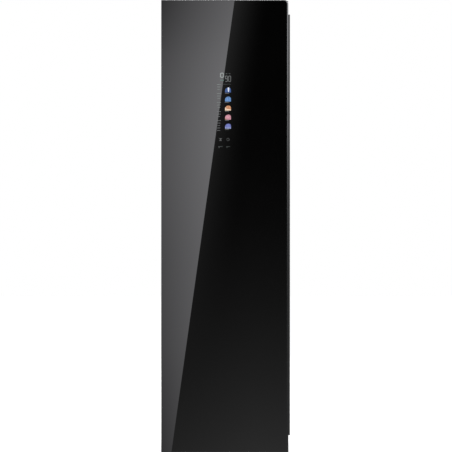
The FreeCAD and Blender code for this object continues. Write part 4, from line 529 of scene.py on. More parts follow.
emboss(belt_rubber, 1500, 0.0001)
dress(belt_rubber, "drive_belt", "compressor_mounts")
eased("bar_guides", 0.0010, charcoal)
eased("drive_cover", 0.0015, charcoal)
eased("rail_block", 0.0010, black_nylon)
dress(black_nylon, "crank_shaft", "motor_pulley")

# ---- Hangers
# Broad shouldered hangers, moulded in black nylon with a soft matt skin and rounded all round, so
# that they leave no mark in the cloth.
HANGER_BLACK = (0.020, 0.020, 0.021)
hanger_skin = new_finish("hanger_matt_skin", 0.62)
tint(hanger_skin, 70, *shades(HANGER_BLACK, 0.85, 1.25))
gloss(hanger_skin, 300, 0.55, 0.7)
emboss(hanger_skin, pattern(hanger_skin, 2200, "Voronoi"), 0.00005)
for node in ("hanger_left", "hanger_right"):
    eased(node, 0.0024, hanger_skin, segments=3)

# ---- Heat pump and air duct
# Aluminium fins pressed on copper tubes, a black enamelled compressor can, a brazed copper pipe,
# and white polypropylene mouldings that lead the air to the fan and back.
OFF_WHITE = (0.62, 0.62, 0.60)
fin_metal = new_finish("fin_aluminium", 0.35, 1.0)
rolled_lines = pattern(fin_metal, 50, stretch=(1, 1, 8))
tint(fin_metal, rolled_lines, (0.55, 0.56, 0.57), (0.72, 0.73, 0.74))
dress(fin_metal, "heat_exchangers")
enamel = new_finish("black_enamel", 0.25)
tint(enamel, 20, (0.006, 0.006, 0.006), (0.014, 0.014, 0.014))
emboss(enamel, 300, 0.0001)
dress(enamel, "compressor")
copper = new_finish("copper_pipe", 0.3, 1.0)
tint(copper, 60, (0.55, 0.24, 0.13), (0.78, 0.40, 0.25))
gloss(copper, 140, 0.22, 0.42)
dress(copper, "refrigerant_pipe")
white_plastic = new_finish("white_polypropylene", 0.5)
tint(white_plastic, 14, *shades(OFF_WHITE, 0.95, 1.05))
gloss(white_plastic, 200, 0.42, 0.58)
emboss(white_plastic, 1600, 0.00006)
dress(white_plastic, "fan_housing")
eased("intake_duct", 0.0015, white_plastic)
eased("tank_bay", 0.0010, white_plastic)
dress(black_nylon, "fan_wheel")

# ---- Steam generator, hose, pumps and control box
# A moulded boiler in heat resistant black plastic, a silicone hose up to the nozzle, two small
# pumps, and the electronics in a lidded box.
boiler_plastic = new_finish("boiler_plastic", 0.45)
tint(boiler_plastic, 60, (0.05, 0.05, 0.052), (0.075, 0.075, 0.078))
emboss(boiler_plastic, 1500, 0.0001)
eased("steam_generator", 0.004, boiler_plastic)
silicone = new_finish("hose_silicone", 0.45)
tint(silicone, 50, (0.52, 0.50, 0.46), (0.62, 0.60, 0.56))
look(silicone, "Subsurface Weight").default_value = 0.2
look(silicone, "Subsurface Radius").default_value = (0.004, 0.004, 0.003)
dress(silicone, "steam_hose")
dress(black_nylon, "water_pumps")
eased("control_box", 0.002, black_nylon)

# ---- Water tanks
# Blow moulded in smoky translucent plastic so that the level shows, with stiffening grooves round
# the body and raised marks at the front. The lids carry the finger pull; the supply lid is pale
# and the drain lid dark.
PALE_GREY = (0.36, 0.365, 0.37)
LEVEL_MARK = {"Mark Width": 0.012, "Mark Height": 0.0012, "Mark Depth": 0.0008}
LEVEL_LOW = 0.050  # the lowest mark, above the bottom
LEVEL_STEP = 0.020
LEVEL_COUNT = 6
TANK_WALL = 0.0025
TANK_ROUND = 0.010
FOOT_PROFILE = ((0.003, 0.0), (0.0008, 0.0008), (0.0, 0.003))  # in from the wall, and height
GROOVES = (0.030, 0.100, 0.170)  # above the bottom
GROOVE_DEPTH = 0.0015
GROOVE_PROFILE = (  # along the wall, and in from it
    (-0.004, 0.0), (-0.0025, GROOVE_DEPTH), (0.0025, GROOVE_DEPTH), (0.004, 0.0),
)
ARC_STEPS = 8
smoky = new_finish("smoky_tank_plastic", 0.25)
tint(smoky, 20, (0.23, 0.25, 0.27), (0.26, 0.28, 0.30))
look(smoky, "Transmission Weight").default_value = 0.5
emboss(smoky, 900, 0.00002)
pale_lid = new_finish("pale_lid_plastic", 0.45)
tint(pale_lid, 30, *shades(PALE_GREY, 0.95, 1.05))
gloss(pale_lid, 240, 0.38, 0.52)
emboss(pale_lid, 2200, 0.00005)
level_marks, sizes = new_growth("level_marks", "Mark Width", "Mark Height", "Mark Depth")
extents = {0: sizes["Mark Width"], 1: sizes["Mark Depth"], 2: sizes["Mark Height"]}
mark_size = step(level_marks, "ShaderNodeCombineXYZ", extents)
end_on_points(level_marks, sizes, step(level_marks, "GeometryNodeMeshCube", {"Size": mark_size}))


def rounded_loop(low_x, low_y, high_x, high_y, rounds):
    """Corner points of a rounded rectangle, from the arc at its low corner and onward round it."""
    corners = ((low_x, low_y), (high_x, low_y), (high_x, high_y), (low_x, high_y))
    points = []
    for turn, ((x, y), radius) in enumerate(zip(corners, rounds)):
        centre_x = x + radius * (1 if turn in (0, 3) else -1)
        centre_y = y + radius * (1 if turn in (0, 1) else -1)
        for i in range(ARC_STEPS + 1):
            angle = math.pi + (turn + i / ARC_STEPS) * math.pi / 2
            across, up = radius * math.cos(angle), radius * math.sin(angle)
            points.append((centre_x + across, centre_y + up))
    return points


for node, lid_finish in (("supply_tank", pale_lid), ("drain_tank", charcoal)):
    low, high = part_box(node)
    stations = [(inset, low.z + rise) for inset, rise in FOOT_PROFILE]
    for groove in GROOVES:
        stations += [(inset, low.z + groove + along) for along, inset in GROOVE_PROFILE]
    stations += [(0.0, high.z), (TANK_WALL, high.z), (TANK_WALL, low.z + TANK_WALL)]
    rings = []
    for inset, height in stations:
        sides = (low.x + inset, low.y + inset, high.x - inset, high.y - inset)
        loop = rounded_loop(*sides, [TANK_ROUND - inset] * 4)
        rings.append([(x, y, height) for x, y in loop])
    body = new_piece(node + "_body", stacked_mesh(node, rings), smoky, node)
    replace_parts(body, node)
    middle_x = (low.x + high.x) / 2
    spots = [(middle_x, low.y, low.z + LEVEL_LOW + i * LEVEL_STEP) for i in range(LEVEL_COUNT)]
    marks = grown(level_marks, spots, pale_lid, LEVEL_MARK)
    new_piece(node + "_marks", marks, pale_lid, node)
    eased(node + "_lid", 0.0015, lid_finish)

# ---- Hinge brackets and bearings
# Pressed steel tongues, zinc plated, with a turned pin each, screwed to the carcass. The pins run
# in nylon blocks inside the door.
dress(galvanised, "upper_hinge_bracket", "lower_hinge_bracket")
eased("hinge_blocks", 0.001, black_nylon)

# ---- Door frame
# An extruded ring of aluminium round the glass, mitred at the corners, with a rounded front edge
# that is widest on the handle side. It is polished along its length and dyed dark grey.
RIM_GREY = (0.085, 0.086, 0.089)
ROUND_DEPTH = 0.0042
ROUND_LEFT, ROUND_RIGHT, ROUND_FOOT, ROUND_HEAD = 0.0008, 0.0047, 0.0006, 0.0036
ROUND_STEPS = 6
rim_metal = new_finish("polished_rim_metal", 0.15, 1.0)
strokes = pattern(rim_metal, 40, stretch=(60, 60, 1))
tint(rim_metal, strokes, *shades(RIM_GREY, 0.94, 1.05))
gloss(rim_metal, strokes, 0.12, 0.18)
frame_low, frame_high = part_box("door_frame")
ring = merged_copy("door_frame")
for i in range(ROUND_STEPS):
    depth = ROUND_DEPTH * (1 - math.sin(math.pi / 2 * i / ROUND_STEPS))
    plane = {"plane_co": (0, frame_low.y + depth, 0), "plane_no": (0, 1, 0)}
    everything = [*ring.verts, *ring.edges, *ring.faces]
    bmesh.ops.bisect_plane(ring, geom=everything, dist=1e-6, **plane)
middle = (frame_low + frame_high) / 2
half = (frame_high - frame_low) / 2
for corner in ring.verts:
    depth = corner.co.y - frame_low.y
    off = Vector(((corner.co.x - middle.x) / half.x, 0, (corner.co.z - middle.z) / half.z))
    outer = any(face.normal.dot(off) > 0.3 for face in corner.link_faces)
    if depth > ROUND_DEPTH or not outer:
        continue
    pull = 1 - math.sqrt(1 - (1 - depth / ROUND_DEPTH) ** 2)
    corner.co.x -= pull * (ROUND_RIGHT * (1 + off.x) - ROUND_LEFT * (1 - off.x)) / 2
    corner.co.z -= pull * (ROUND_HEAD * (1 + off.z) - ROUND_FOOT * (1 - off.z)) / 2
stand_in("door_frame", ring, "rounded_rim", rim_metal)

# ---- Handle
# A drawn aluminium channel let into the side of the frame. Its front flange stands out as the
# grip's lip; it is bead blasted and coated in the same dark grey, so it shines less than the rim.
GRIP_GREY = (0.030, 0.0303, 0.0306)
grip_coat = new_finish("blasted_grip_metal", 0.5)
tint(grip_coat, 60, *shades(GRIP_GREY, 0.95, 1.05))
gloss(grip_coat, 300, 0.38, 0.46)
emboss(grip_coat, 3000, 0.00003)
look(grip_coat, "Specular IOR Level").default_value = 0.25
eased("door_handle", 0.0004, grip_coat)

# ---- Door glass
# One pane of 4 mm float glass, printed black on its back and bonded into the frame. Its edges are
# ground to a small chamfer, and the corner at the top of the handle side is rounded the most.
PANE_SETBACK = 0.0002
GROUND_EDGE = 0.0005
PANE_ROUNDS = (0.002, 0.002, 0.012, 0.002)  # left low, right low, right high, left high
LEAST_ROUND = 0.0005
black_glass = new_finish("black_glass", 0.02)
tint(black_glass, 6, (0.0004, 0.0004, 0.0004), (0.0006, 0.0006, 0.0006))
gloss(black_glass, 14, 0.002, 0.004)
look(black_glass, "IOR").default_value = 1.5
glass_low, glass_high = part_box("door_glass")
pane_front = glass_low.y + PANE_SETBACK
pane_rings = []
for inset, y in ((GROUND_EDGE, pane_front), (0.0, pane_front + GROUND_EDGE), (0.0, glass_high.y)):
    rounds = [max(radius - inset, LEAST_ROUND) for radius in PANE_ROUNDS]
    sides = (glass_low.x + inset, glass_low.z + inset, glass_high.x - inset, glass_high.z - inset)
    pane_rings.append([(x, y, z) for x, z in rounded_loop(*sides, rounds)])
pane_mesh = stacked_mesh("door_pane", pane_rings)
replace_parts(new_piece("door_pane", pane_mesh, black_glass, "door"), "door_glass")

# ---- Display
# Backlit shapes printed clear in the black of the glass, over a board of light diodes: a large
# digit, a smaller pair, five pictures of garments that choose the programme, and rows of marks.
board_low, board_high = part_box("display_board")
LEFT_COLUMN = board_low.x + 0.01365
RIGHT_COLUMN = board_high.x - 0.0187
DISPLAY_TOP = board_high.z - 0.0097
INLAY = 0.00015  # how far a print stands before the face of the pane, and reaches behind it
LAYER = 0.00002  # from one print to the next over it
SEGMENTS = {"0": "abcdef", "9": "abcdfg"}
dress(black_nylon, "display_board")


def lit_finish(name, colour):
    """A shape that glows; the light is a little uneven, as behind a printed window."""
    finish = new_finish(name, 0.05)
    look(finish, "Base Color").default_value = (0.001, 0.001, 0.001, 1)
    look(finish, "Emission Strength").default_value = 1.0
    tint(finish, 260, *shades(colour, 0.86, 1.1), socket="Emission Color")
    return finish


def inlay(name, outlines, finish, layer=0):
    """Flat shapes in X and Z, set into the face of the pane."""
    work = bmesh.new()
    near_y = pane_front - INLAY - layer * LAYER
    far_y = pane_front + INLAY
    for points in outlines:
        near = [work.verts.new((x, near_y, z)) for x, z in points]
        far = [work.verts.new((x, far_y, z)) for x, z in points]
        count = len(points)
        work.faces.new(near)
        work.faces.new(list(reversed(far)))
        for i in range(count):
            work.faces.new((near[i], near[(i + 1) % count], far[(i + 1) % count], far[i]))
    new_piece(name, as_mesh(name, work), finish, "door")


def bar(x, z, width, height):
    """A short bar with cut corners, given by its centre."""
    nip = min(width, height) * 0.25
    w = width / 2
    h = height / 2
    low = ((-w, -h + nip), (-w + nip, -h), (w - nip, -h), (w, -h + nip))
    high = ((w, h - nip), (w - nip, h), (-w + nip, h), (-w, h - nip))
    return [(x + a, z + b) for a, b in low + high]


def digit(sign, x, z, width, height, stroke):
    """A digit of seven strokes, given by its centre."""
    w = (width - stroke) / 2
    h = (height - stroke) / 2
    long = h - stroke * 0.1
    strokes = {
        "a": bar(x, z + h, width - stroke, stroke),
        "g": bar(x, z, width - stroke, stroke),
        "d": bar(x, z - h, width - stroke, stroke),
        "b": bar(x + w, z + h / 2, stroke, long),
        "c": bar(x + w, z - h / 2, stroke, long),
        "f": bar(x - w, z + h / 2, stroke, long),
        "e": bar(x - w, z - h / 2, stroke, long),
    }
    return [strokes[name] for name in SEGMENTS[sign]]


white_light = lit_finish("display_white", (0.24, 0.27, 0.26))
dim_light = lit_finish("display_dim_white", (0.10, 0.105, 0.105))
pair_light = lit_finish("display_pair_white", (0.135, 0.142, 0.142))
faint_light = lit_finish("display_faint_white", (0.050, 0.059, 0.056))
green_light = lit_finish("display_green", (0.06, 0.17, 0.13))

# The large digit with its underline, and the pair with two marks over it and a rule under it.
BIG_X = LEFT_COLUMN + 0.0126
BIG_DIGIT = (BIG_X, DISPLAY_TOP - 0.0105, 0.0165, 0.021, 0.0042)  # place, size and stroke
UNDERLINE = (BIG_X, DISPLAY_TOP - 0.0312, 0.0165, 0.0026)  # place and size
PAIR_APART = 0.0067  # from the middle of the pair to that of each digit
PAIR_DIGIT = (DISPLAY_TOP - 0.0251, 0.0112, 0.025, 0.0026)  # height in place, size and stroke
MARK_APART = 0.0063
PAIR_MARK = (DISPLAY_TOP - 0.0042, 0.0075, 0.003)
RULE = (RIGHT_COLUMN - 0.004, DISPLAY_TOP - 0.048, 0.033, 0.0012)
inlay("display_large_digit", digit("0", *BIG_DIGIT), white_light)
inlay("display_large_underline", [bar(*UNDERLINE)], green_light)
nine = digit("9", RIGHT_COLUMN - PAIR_APART, *PAIR_DIGIT)
nought = digit("0", RIGHT_COLUMN + PAIR_APART, *PAIR_DIGIT)
inlay("display_small_digits", nine + nought, pair_light)
small_marks = [bar(RIGHT_COLUMN + side * MARK_APART, *PAIR_MARK) for side in (-1, 1)]
inlay("display_small_marks", [*small_marks, bar(*RULE)], faint_light)

# The pictures share the outline of a garment; a second shape and thin seams tell them apart.
GARMENT_PITCH = 0.0376
GARMENT_TOP = DISPLAY_TOP - 0.0585
GARMENT_DROP = 0.0135  # from the top of a row to the middle of its picture
GARMENT = (0.0121, 0.0103)  # half the width and half the height of one picture
SEAM_SHADE = 0.3
JACKET = (
    (-0.08, 1.0), (-0.48, 0.78), (-0.84, 0.42), (-1.0, -0.1), (-1.0, -0.94), (-0.95, -1.0),
    (0.96, -1.0), (1.0, -0.94), (1.0, 0.1), (0.92, 0.5), (0.70, 0.8), (0.36, 1.0),
)
LAPELS = ((-0.06, 1.0), (-0.1, 0.5), (0.06, -0.7), (0.3, -0.7), (0.46, 0.5), (0.36, 1.0))
YOKE = ((-0.08, 1.0), (-0.48, 0.78), (-0.58, 0.6), (0.82, 0.6), (0.70, 0.8), (0.36, 1.0))
HEM = ((-0.95, -1.0), (-1.0, -0.5), (1.0, -0.5), (0.96, -1.0))
COAT_FOLD = (
    (-0.9, 0.3), (-1.0, -0.1), (-1.0, -0.94), (-0.95, -1.0),
    (0.96, -1.0), (1.0, -0.5), (-0.3, -0.4), (-0.66, 0.1),
)
POCKET = ((-1.0, -0.94), (-1.0, -0.6), (-0.68, -0.6), (-0.68, -0.94))


def seam(low, high, width=0.07):
    """A thin line between two points of a picture."""
    run = Vector(high) - Vector(low)
    aside = Vector((-run.y, run.x)).normalized() * width / 2
    ends = ((low, -1), (high, -1), (high, 1), (low, 1))
    return [Vector(end) + aside * side for end, side in ends]


ARMS = (seam((-0.64, 0.42), (-0.60, -1.0)), seam((0.76, 0.48), (0.66, -1.0)))
TIE = (
    seam((0.18, 0.9), (0.18, -0.3), 0.05), seam((-0.42, -0.3), (-0.14, -0.3)),
    seam((0.46, 0.5), (0.62, 0.3)),
)
COLLAR = (
    seam((-0.18, 0.94), (0.14, 0.56)), seam((0.50, 0.90), (0.14, 0.56)),
    seam((0.14, 0.56), (0.14, -1.0)),
)
BELT = (seam((0.14, 0.96), (0.14, -0.4)), seam((-0.58, 0.04), (0.66, 0.04)))
FRONT = (
    seam((-0.18, 0.94), (0.14, 0.40)), seam((0.50, 0.90), (0.14, 0.40)),
    seam((-0.56, -0.5), (0.64, -0.5)),
)
NECKLINE = seam((-0.2, 0.84), (0.5, 0.84))
RIBS = [seam((i * 0.16 - 0.5, -0.52), (i * 0.16 - 0.5, -0.98), 0.04) for i in range(8)]
PROGRAMMES = (
    ("suit", (0.045, 0.105, 0.31), LAPELS, (0.90, 0.94, 1.0), TIE),
    ("shirt", (0.135, 0.29, 0.60), YOKE, (0.10, 0.22, 0.46), COLLAR),
    ("coat", (0.66, 0.30, 0.15), COAT_FOLD, (0.90, 0.68, 0.50), BELT),
    ("blouse", (0.66, 0.30, 0.37), POCKET, (0.38, 0.29, 0.10), FRONT),
    ("knitwear", (0.17, 0.20, 0.52), HEM, (0.36, 0.42, 0.72), (NECKLINE, *RIBS)),
)


def placed(shape, x, z, half_width, half_height):
    """A shape that is given in half widths and half heights, round its place."""
    return [(x + half_width * across, z + half_height * up) for across, up in shape]


for row, (name, colour, patch, patch_colour, lines) in enumerate(PROGRAMMES):
    picture = "picture_" + name
    place = (RIGHT_COLUMN, GARMENT_TOP - GARMENT_DROP - row * GARMENT_PITCH, *GARMENT)
    inlay(picture, [placed(JACKET, *place)], lit_finish(name + "_light", colour))
    inlay(picture + "_part", [placed(patch, *place)], lit_finish(name + "_part", patch_colour), 1)
    drawn = [placed(line, *place) for line in (*ARMS, *lines)]
    seam_light = lit_finish(name + "_lines", *shades(colour, SEAM_SHADE))
    inlay(picture + "_lines", drawn, seam_light, 2)

# Short marks stand for words: one under each picture, and a list to the left of the pictures.
CAPTION_X = RIGHT_COLUMN - 0.0042
CAPTION_TOP = GARMENT_TOP - 0.0271
CAPTION = (0.0165, 0.0028)
LIST_TOP = DISPLAY_TOP - 0.0491
LIST_STEP = 0.0102
LIST_CREEP = 0.0004  # to the left, from one line to the next
LIST_WIDTHS = (0.0165, 0.0140, 0.0110, 0.0140, 0.0140)
WORD_HEIGHT = 0.0022
caption_rows = [CAPTION_TOP - row * GARMENT_PITCH for row in range(len(PROGRAMMES))]
inlay("display_captions", [bar(CAPTION_X, z, *CAPTION) for z in caption_rows], dim_light)
list_light = lit_finish("display_list_white", (0.125, 0.152, 0.140))
LIST_PARTS = (  # with the number of lines beside the first picture, the second and so on
    ("display_list", list_light, (3, 3, 3)), ("display_list_lower", dim_light, (0, 0, 0, 3, 5)),
)
for name, finish, counts in LIST_PARTS:
    list_marks = []
    for row, count in enumerate(counts):
        for line in range(count):
            x = LEFT_COLUMN - LIST_CREEP * line
            z = LIST_TOP - row * GARMENT_PITCH - line * LIST_STEP
            list_marks.append(bar(x, z, LIST_WIDTHS[line], WORD_HEIGHT))
    inlay(name, list_marks, finish)

# The touch marks at the foot: an hourglass and a ring, each with a caption and a tick under it.
TOUCH_Z = DISPLAY_TOP - 0.278
TOUCH_LEFT, TOUCH_RIGHT = LEFT_COLUMN + 0.0064, RIGHT_COLUMN
HOURGLASS = (0.0062, 0.0052)  # half its width and half its height
BULBS = (((-1, 1), (0, -0.15), (1, 1)), ((-1, -1), (1, -1), (0, 0.15)))
RING_OUT, RING_IN = 0.0058, 0.0046
RING_STEPS = 20
WORD_DROP, TICK_DROP = 0.0294, 0.033
TICK = (0.003, 0.005)
TICK_SHIFT = 0.28  # to the left, in widths of the caption
hourglass = [placed(bulb, TOUCH_LEFT, TOUCH_Z, *HOURGLASS) for bulb in BULBS]
touch_ring = []
for i in range(RING_STEPS):
    near, far = 2 * math.pi * i / RING_STEPS, 2 * math.pi * (i + 1) / RING_STEPS
    arc = ((RING_OUT, near), (RING_OUT, far), (RING_IN, far), (RING_IN, near))
    touch_ring.append(
        [
            (TOUCH_RIGHT + radius * math.cos(angle), TOUCH_Z + radius * math.sin(angle))
            for radius, angle in arc
        ]
    )
inlay("display_touch_marks", hourglass + touch_ring, dim_light)
ticks = []
for x, width in ((TOUCH_LEFT - 0.0004, 0.019), (TOUCH_RIGHT + 0.0004, 0.0165)):
    ticks.append(bar(x, TOUCH_Z - WORD_DROP, width, WORD_HEIGHT))
    ticks.append(bar(x - width * TICK_SHIFT, TOUCH_Z - TICK_DROP, *TICK))
inlay("display_touch_captions", ticks, faint_light)

# ---- Door liner and gasket
# The inner face of the door is one vacuum formed grey sheet with a raised field. A magnetic gasket
# runs round it: a clipped foot, two soft folds and a head that holds the magnet.
GASKET_GREY = (0.080, 0.081, 0.083)
GASKET_HALF = 0.007
GASKET_CORNER = 0.009
FOLDS = (  # half width and height of the section, in millimetres, from the foot to the head
    (5.5, 0.0), (5.5, 1.0), (3.4, 2.0), (5.6, 3.0), (3.6, 3.9), (7.0, 4.4), (7.0, 6.2), (6.3, 6.7),
)
eased("door_liner", 0.0012, liner_plastic)
gasket_rubber = new_finish("gasket_grey_rubber", 0.6)
tint(gasket_rubber, 80, *shades(GASKET_GREY, 0.9, 1.12))
gloss(gasket_rubber, 400, 0.52, 0.68)
gasket, sizes = new_growth("gasket_run", "Corner Radius")
line = step(gasket, "GeometryNodeMeshToCurve", {"Mesh": sizes["Seed Mesh"]})
bend = {"Curve": line, "Radius": sizes["Corner Radius"], "Count": 8}
bent = step(gasket, "GeometryNodeFilletCurve", bend, mode="POLY")
upright = step(gasket, "GeometryNodeSetCurveNormal", {"Curve": bent}, mode="Z_UP")
profile = gasket.nodes.new("GeometryNodeObjectInfo")
gasket.links.new(sizes["Profile"], profile.inputs["Object"])
section = step(gasket, "GeometryNodeMeshToCurve", {"Mesh": profile.outputs["Geometry"]})
run = step(gasket, "GeometryNodeCurveToMesh", {"Curve": upright, "Profile Curve": section})
end_growth(gasket, run, sizes["Finish"])
right_side = [(half / 1000, rise / 1000) for half, rise in FOLDS]
left_side = [(-half, rise) for half, rise in reversed(right_side)]
outline = [(x, y, 0) for x, y in right_side + left_side]
outline_edges = [(i, (i + 1) % len(outline)) for i in range(len(outline))]
outline_mesh = bpy.data.meshes.new("gasket_section")
outline_mesh.from_pydata(outline, outline_edges, [])
section_draft = bpy.data.objects.new("gasket_section", outline_mesh)
gasket_low, gasket_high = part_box("door_gasket")
low = gasket_low + Vector((GASKET_HALF, 0, GASKET_HALF))
high = gasket_high - Vector((GASKET_HALF, 0, GASKET_HALF))
path = [(low.x, low.z, 0), (high.x, low.z, 0), (high.x, high.z, 0), (low.x, high.z, 0)]
settings = {"Corner Radius": GASKET_CORNER, "Profile": section_draft}
gasket_mesh = grown(gasket, path, gasket_rubber, settings, [(0, 1), (1, 2), (2, 3), (3, 0)])
for corner in gasket_mesh.vertices:
    corner.co = (corner.co.x, gasket_low.y - corner.co.z, corner.co.y)
bpy.data.objects.remove(section_draft)
folds = new_piece("door_gasket_folds", gasket_mesh, gasket_rubber, "door")
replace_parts(folds, "door_gasket")

# ---- Trouser press
# A tray of dark ABS on the inside of the door, and a paler plate hinged in it that presses the
# trousers flat. The plate has rows of low ribs that let the steam through the cloth.
PLATE_GREY = (0.20, 0.203, 0.21)
RIB = {"Mark Width": 0.250, "Mark Height": 0.003, "Mark Depth": 0.0024}
RIB_PITCH = 0.030
RIB_MARGIN = 0.100  # of the plate's height, left plain
RIB_SHIFT = 0.008  # from the plate's middle, away from its hinge
press_dark = new_finish("press_dark_plastic", 0.5)
tint(press_dark, 30, (0.067, 0.068, 0.071), (0.073, 0.074, 0.077))
gloss(press_dark, 260, 0.42, 0.58)
emboss(press_dark, 2200, 0.00005)
press_grey = new_finish("press_plate_plastic", 0.48)
tint(press_grey, 12, *shades(PLATE_GREY, 0.95, 1.05))
gloss(press_grey, 240, 0.42, 0.55)
emboss(press_grey, 2200, 0.00005)
eased("press_board", 0.0015, press_dark)
eased("press_plate", 0.0012, press_grey)
plate_low, plate_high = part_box("press_plate")
plate_middle = (plate_low + plate_high) / 2
rib_count = int((plate_high.z - plate_low.z - RIB_MARGIN) / RIB_PITCH)
rib_rows = row_of(rib_count, RIB_PITCH, plate_middle.z)
spots = [(plate_middle.x + RIB_SHIFT, plate_high.y, z) for z in rib_rows]
ribs = grown(level_marks, spots, press_grey, RIB)
new_piece("press_plate_ribs", ribs, press_grey, "press_plate")

# ---- Studio
# A pale floor and an even white room. A light and a dark panel stand behind the camera, show only
# in gloss and meet on the glass in one straight slanting line; a third stands at the right.
SCALE = 0.004162  # metres at the door for one pixel
VIEW = 452  # pixels across
EYE = 9.0  # from the lens to the door
SENSOR = 36
EYE_X = 0.00495
EYE_Z = (cad_bounds[1].z + glass_low.z - 0.0014) / 2
camera_data = bpy.data.cameras.new("studio_camera")
camera_data.sensor_width = SENSOR
camera_data.lens = SENSOR * EYE / (VIEW * SCALE)
camera_data.clip_end = 100
camera = put("studio_camera", camera_data)
camera.location = (EYE_X, glass_low.y - EYE, EYE_Z)
camera.rotation_euler = (math.radians(90), 0, 0)
bpy.context.scene.camera = camera
bpy.context.scene.view_settings.view_transform = "Standard"

ROOM_LIGHT = 0.62  # what the room gives to matt things; the camera, gloss and glass see it white
world = bpy.data.worlds.new("white_room")
bpy.context.scene.world = world
world.use_nodes = True
tree = world.node_tree
room = tree.nodes["Background"].inputs
room["Color"].default_value = (1, 1, 1, 1)
rays = tree.nodes.new("ShaderNodeLightPath").outputs
mirror_rays = sums(tree, "MAXIMUM", rays["Is Glossy Ray"], rays["Is Transmission Ray"])
white_rays = sums(tree, "MAXIMUM", rays["Is Camera Ray"], mirror_rays)
spread(tree, white_rays, room["Strength"], ROOM_LIGHT, 1.0, 0, 1)

FLOOR_HALF = 20
FLOOR_GLOW = 0.5
corners = [(x * FLOOR_HALF, y * FLOOR_HALF, 0) for x, y in ((-1, -1), (1, -1), (1, 1), (-1, 1))]
floor_mesh = bpy.data.meshes.new("floor")
floor_mesh.from_pydata(corners, [], [(0, 1, 2, 3)])
floor = put("floor", floor_mesh)
floor_paint = new_finish("floor_paint", 0.9)
tint(floor_paint, 3, (0.82, 0.82, 0.82), (0.85, 0.85, 0.85))
look(floor_paint, "Emission Color").default_value = (1, 1, 1, 1)
tree = floor_paint.node_tree
rays = tree.nodes.new("ShaderNodeLightPath").outputs
spread(tree, rays["Is Camera Ray"], look(floor_paint, "Emission Strength"), 0, FLOOR_GLOW, 0, 1)
floor_mesh.materials.append(floor_paint)
floor.visible_glossy = False

LAMP_SIZE = 2.4
LAMP_AIM = Vector((0, 0, 0.95))
for name, place, power in (
    ("key_light", (-3.2, -4.2, 3.6), 130),
    ("fill_light", (3.6, -3.4, 2.6), 70),
    ("back_light", (0.5, 4.5, 3.8), 110),
):
    lamp_data = bpy.data.lights.new(name, "AREA")
    lamp_data.size = LAMP_SIZE
    lamp_data.energy = power
    lamp = put(name, lamp_data)
    lamp.location = place
    lamp.rotation_euler = (LAMP_AIM - Vector(place)).to_track_quat("-Z", "Y").to_euler()

PANEL_AWAY = 10.5  # from the door to the panels, behind the camera
MAGNIFIED = 1 + PANEL_AWAY / EYE
EDGE_TOP = (0.0404, 1.8973)  # the slanting line on the door, in X and Z
EDGE_FOOT = (-0.2218, 0.0213)
EDGE_LEAN = (EDGE_TOP[0] - EDGE_FOOT[0]) / (EDGE_TOP[1] - EDGE_FOOT[1])
PANEL_FOOT, PANEL_HEAD, PANEL_SIDE = -1.4, 2.3, 1.1  # how far they reach, measured on the door
SOFT_FOOT, SOFT_SIDE = -0.05, 0.34  # where they begin to pass into the room


def mirrored(x, z):
    """Where the panels show at a point of the door, seen from the camera."""
    y = glass_low.y - PANEL_AWAY
    return ((x - EYE_X) * MAGNIFIED + EYE_X, y, (z - EYE_Z) * MAGNIFIED + EYE_Z)


def edge_x(z):
    return EDGE_FOOT[0] + (z - EDGE_FOOT[1]) * EDGE_LEAN


def new_glow(name):
    finish = bpy.data.materials.new(name)
    finish.use_nodes = True
    tree = finish.node_tree
    tree.nodes.remove(tree.nodes["Principled BSDF"])
    glow = tree.nodes.new("ShaderNodeEmission")
    tree.links.new(glow.outputs["Emission"], tree.nodes["Material Output"].inputs["Surface"])
    return finish, tree


def fade(tree, low, high, kind="LINEAR"):
    """Runs from 0 to 1 between two points of the room."""
    run = Vector(high) - Vector(low)
    place = tree.nodes.new("ShaderNodeTexCoord")
    fit = tree.nodes.new("ShaderNodeMapping")
    fit.vector_type = "TEXTURE"
    fit.inputs["Location"].default_value = low
    fit.inputs["Rotation"].default_value = Vector((1, 0, 0)).rotation_difference(run).to_euler()
    fit.inputs["Scale"].default_value = (run.length, run.length, run.length)
    tree.links.new(place.outputs["Object"], fit.inputs["Vector"])
    found = {"Vector": fit.outputs["Vector"]}
    return step(tree, "ShaderNodeTexGradient", found, gradient_type=kind).node.outputs["Fac"]


def hang_panel(finish, level, soft_foot, soft_side, corners):
    """A panel that shows only in gloss; its light passes into the room's at its foot and side."""
    tree = finish.node_tree
    share = sums(tree, "MAXIMUM", fade(tree, *soft_foot), fade(tree, *soft_side))
    blend = sums(tree, "MULTIPLY_ADD", share, sums(tree, "SUBTRACT", 1.0, level), level)
    tree.links.new(blend, tree.nodes["Emission"].inputs["Strength"])
    mesh = bpy.data.meshes.new(finish.name)
    mesh.from_pydata(corners, [], [range(len(corners))])
    mesh.materials.append(finish)
    panel = put(finish.name, mesh)
    panel.visible_camera = False
    panel.visible_diffuse = False
    panel.visible_shadow = False
    panel.visible_transmission = False


soft_foot = (mirrored(0, SOFT_FOOT), mirrored(0, PANEL_FOOT))
edge_ends = [(edge_x(z), z) for z in (PANEL_FOOT, PANEL_HEAD)]

